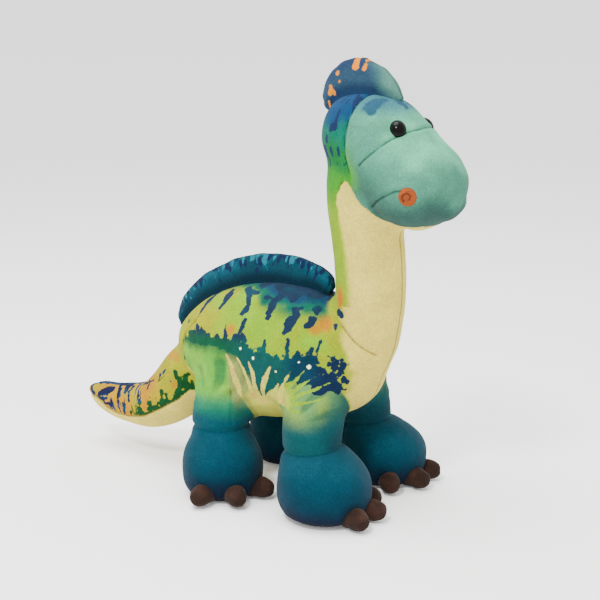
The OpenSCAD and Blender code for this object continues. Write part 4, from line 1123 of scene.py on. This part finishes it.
CLAW_R, CLAW_L = 9.7, 22.0
for nm, L, s in (("front_left", FRONT, 1), ("front_right", FRONT, -1), ("hind_left", HIND, 1), ("hind_right", HIND, -1)):
    for k, a in enumerate(L[6]):
        th = math.radians(L[5] + a)
        d = np.array([math.cos(th), s * math.sin(th), 0.0])
        o = np.array([L[2], s * FOOT_Y, 10.0]) + d * (L[3] - 10)
        side = np.array([-d[1], d[0], 0])
        nu, nv = 26, 36
        V = []
        for i in range(nu):
            t = i / (nu - 1)
            ang = t * math.pi / 2
            X = -2 + (CLAW_L + 2) * math.sin(ang) ** 0.92
            r = CLAW_R * max(math.cos(ang), 0.0) ** 0.62
            r *= 1 - 0.10 * math.exp(-((X - 8) / 3.0) ** 2)
            for j in range(nv):
                b = 2 * math.pi * j / nv
                V.append(o + d * X + side * r * math.cos(b) + np.array([0, 0, 1.0]) * (r * 1.0 * math.sin(b) - 0.06 * X + 0.3))
        V = np.array(V)
        F = [(i * nv + j, i * nv + (j + 1) % nv, (i + 1) * nv + (j + 1) % nv, (i + 1) * nv + j) for i in range(nu - 1) for j in range(nv)]
        F.append(tuple(range(nv - 1, -1, -1)))
        if s < 0:
            F = [tuple(reversed(f)) for f in F]
        V[:, 2] = np.maximum(V[:, 2], 0.45)
        V = V + 0.35 * noise(V, 5, 60 + k)[:, None] * np.array([1, 1, 0.5])
        V[:, 2] = np.maximum(V[:, 2], 0.4)
        ob = new_object("%s_claw_%d" % (nm, k + 1), V, F)
        f_ = plain_fields(V, "#3d2b24", "#55392f", 61 + k)
        give_fields(ob, f_)
        for p in ob.data.polygons:
            p.use_smooth = True
        ob.data.materials.append(PLUSH)
        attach(ob, nm + "_leg")
    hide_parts(nm + "_claws")

# ------------------------------------------------------------------ eyes and nostrils


def surface_frame(u, v, side):
    """A point on the head and its outward normal, from the skin itself."""
    s_ = station(HEAD, u)
    p = rings(s_, 360)[0][int(v) % 360] * np.array([1, side, 1])
    e = rings(station(HEAD, u + 0.01), 360)[0][int(v) % 360] - rings(station(HEAD, u - 0.01), 360)[0][int(v) % 360]
    g_ = rings(s_, 360)[0]
    f_ = g_[(int(v) + 2) % 360] - g_[(int(v) - 2) % 360]
    n_ = np.cross(f_, e)
    n_ /= np.linalg.norm(n_)
    n_ = n_ * np.array([1, side, 1])
    hit = skin_tree.ray_cast(Vector(p + n_ * 12), Vector(-n_), 30)
    if hit[0] is not None:
        p = np.array(hit[0])
    t_ = np.array([0, 0, 1.0]) - n_ * n_[2]
    t_ /= np.linalg.norm(t_)
    return p, n_, t_, np.cross(n_, t_)


def disc(p, n_, up, rt, ru, rr, prof, nu, nv, wob=None):
    V, F = [], []
    for i in range(nu):
        t = i / (nu - 1)
        for j in range(nv):
            b = 2 * math.pi * j / nv
            r_, h_ = prof(t, b)
            V.append(p + up * ru * r_ * math.cos(b) + rt * rr * r_ * math.sin(b) + n_ * h_)
    F = [(i * nv + j, i * nv + (j + 1) % nv, (i + 1) * nv + (j + 1) % nv, (i + 1) * nv + j) for i in range(nu - 1) for j in range(nv)]
    F.append(tuple(range(nv)))
    V = np.array(V)
    return V, F


EYE_MAT = bpy.data.materials.new("eye_gloss")
EYE_MAT.use_nodes = True
nt = EYE_MAT.node_tree
bs = nt.nodes["Principled BSDF"]
bs.inputs["Roughness"].default_value = 0.05
bs.inputs["Specular IOR Level"].default_value = 0.1
tx = nt.nodes.new("ShaderNodeTexNoise")
tx.inputs["Scale"].default_value = 300
cr_ = nt.nodes.new("ShaderNodeValToRGB")
cr_.color_ramp.elements[0].color = (0.0006, 0.0005, 0.0005, 1)
cr_.color_ramp.elements[1].color = (0.0016, 0.0013, 0.0013, 1)
nt.links.new(tx.outputs["Fac"], cr_.inputs["Fac"])
nt.links.new(cr_.outputs["Color"], bs.inputs["Base Color"])

EYE_AT, NOSE_AT = (0.495, 50), (0.79, 2)
for side, nm in ((1, "left"), (-1, "right")):
    p, n_, up, rt = surface_frame(EYE_AT[0], EYE_AT[1], side)
    V, F = disc(p - n_ * 1.6, n_, up, rt, 7.4, 6.3, lambda t, b: (math.cos(t * math.pi / 2) if t < 1 else 0.001, 5.6 * math.sin(t * math.pi / 2)), 24, 48)
    ob = new_object("eye_%s_bead" % nm, V, F)
    bm = bmesh.new(); bm.from_mesh(ob.data); bmesh.ops.recalc_face_normals(bm, faces=bm.faces); bm.to_mesh(ob.data); bm.free()
    for q_ in ob.data.polygons:
        q_.use_smooth = True
    ob.data.materials.append(EYE_MAT)
    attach(ob, "head")
    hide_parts("eye_" + nm)
    p, n_, up, rt = surface_frame(NOSE_AT[0], NOSE_AT[1], side)

    def nose(t, b):
        r_ = 1.02 - t if t < 1 else 0.01
        r_ = max(1 - t, 0.01)
        ring_ = math.exp(-((r_ - 0.66) / 0.26) ** 2)
        rim_ = 1 - math.exp(-((1 - r_) / 0.10) ** 2)
        hgt = -0.5 + 1.15 * rim_ + 0.75 * ring_ + 0.16 * math.sin(b * 38) * ring_
        return r_, hgt
    V, F = disc(p, n_, up, rt, 7.4, 7.2, nose, 30, 152)
    # lay it on the skin
    out = []
    for q_ in V:
        h_ = float((q_ - p) @ n_)
        base_ = q_ - n_ * h_
        hit = skin_tree.ray_cast(Vector(base_ + n_ * 12), Vector(-n_), 30)
        out.append((np.array(hit[0]) if hit[0] is not None else base_) + n_ * h_)
    V = np.array(out)
    ob = new_object("nostril_%s_patch" % nm, V, F)
    bm = bmesh.new(); bm.from_mesh(ob.data); bmesh.ops.recalc_face_normals(bm, faces=bm.faces); bm.to_mesh(ob.data); bm.free()
    r_ = np.linalg.norm(np.cross(V - p, n_), axis=1)
    turn = np.degrees(np.arctan2((V - p) @ rt, (V - p) @ up))
    hook = np.abs(r_ - 2.9 - 0.006 * turn) < 0.75
    cc = mix(srgb("#b8673a"), srgb("#c4703f"), smooth(2.0, 4.0, r_))
    cc = mix(cc, srgb("#8a4526"), np.where(hook & (np.abs(turn) < 150), 0.85, 0) + 0.0 * r_)
    cc = mix(cc, srgb("#a05a34"), smooth(6.0, 7.2, r_))
    f_ = plain_fields(V, "#c9743a", "#c9743a", 70)
    f_["base"] = cc
    give_fields(ob, f_)
    for q_ in ob.data.polygons:
        q_.use_smooth = True
    ob.data.materials.append(PLUSH)
    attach(ob, "head")
    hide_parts("nostril_" + nm)

# ------------------------------------------------------------------ floor, light, camera
floor = new_object("floor", [(-40000, -40000, 0), (40000, -40000, 0), (40000, 40000, 0), (-40000, 40000, 0)], [(0, 1, 2, 3)])
fm = bpy.data.materials.new("floor")
fm.use_nodes = True
fm.node_tree.nodes["Principled BSDF"].inputs["Base Color"].default_value = (0.96, 0.96, 0.96, 1)
fm.node_tree.nodes["Principled BSDF"].inputs["Roughness"].default_value = 0.95
fm.node_tree.nodes["Principled BSDF"].inputs["Specular IOR Level"].default_value = 0.1
fm.node_tree.nodes["Principled BSDF"].inputs["Emission Color"].default_value = (1, 1, 1, 1)
fm.node_tree.nodes["Principled BSDF"].inputs["Emission Strength"].default_value = 0.1
floor.data.materials.append(fm)
world = bpy.data.worlds.new("w")
bpy.context.scene.world = world
world.use_nodes = True
world.node_tree.nodes["Background"].inputs["Color"].default_value = (1, 1, 1, 1)
world.node_tree.nodes["Background"].inputs["Strength"].default_value = 1.9


def area(name, pos, target, size, power):
    l = bpy.data.lights.new(name, "AREA")
    l.shape, l.size, l.energy = "DISK", size, power
    o_ = bpy.data.objects.new(name, l)
    bpy.context.scene.collection.objects.link(o_)
    o_.location = pos
    o_.rotation_euler = (Vector(target) - Vector(pos)).to_track_quat("-Z", "Y").to_euler()
    return o_


area("key", (0.15, -1.0, 1.35), (0.03, 0, 0.15), 0.28, 24)
area("top", (-0.25, -0.1, 1.7), (0.0, 0, 0.1), 1.2, 32)

cam = bpy.data.cameras.new("camera")
cam.lens, cam.sensor_width = 69.64, 36
cam_ob = bpy.data.objects.new("camera", cam)
bpy.context.scene.collection.objects.link(cam_ob)
az, el, dist = math.radians(31.2), math.radians(12.1), 0.95
target = Vector(((46.3 + DX) * MM, 0, 158.8 * MM))
vdir = Vector((math.sin(az) * math.cos(el), -math.cos(az) * math.cos(el), math.sin(el)))
cam_ob.location = target + dist * vdir
cam_ob.rotation_euler = vdir.to_track_quat("Z", "Y").to_euler()
bpy.context.scene.camera = cam_ob
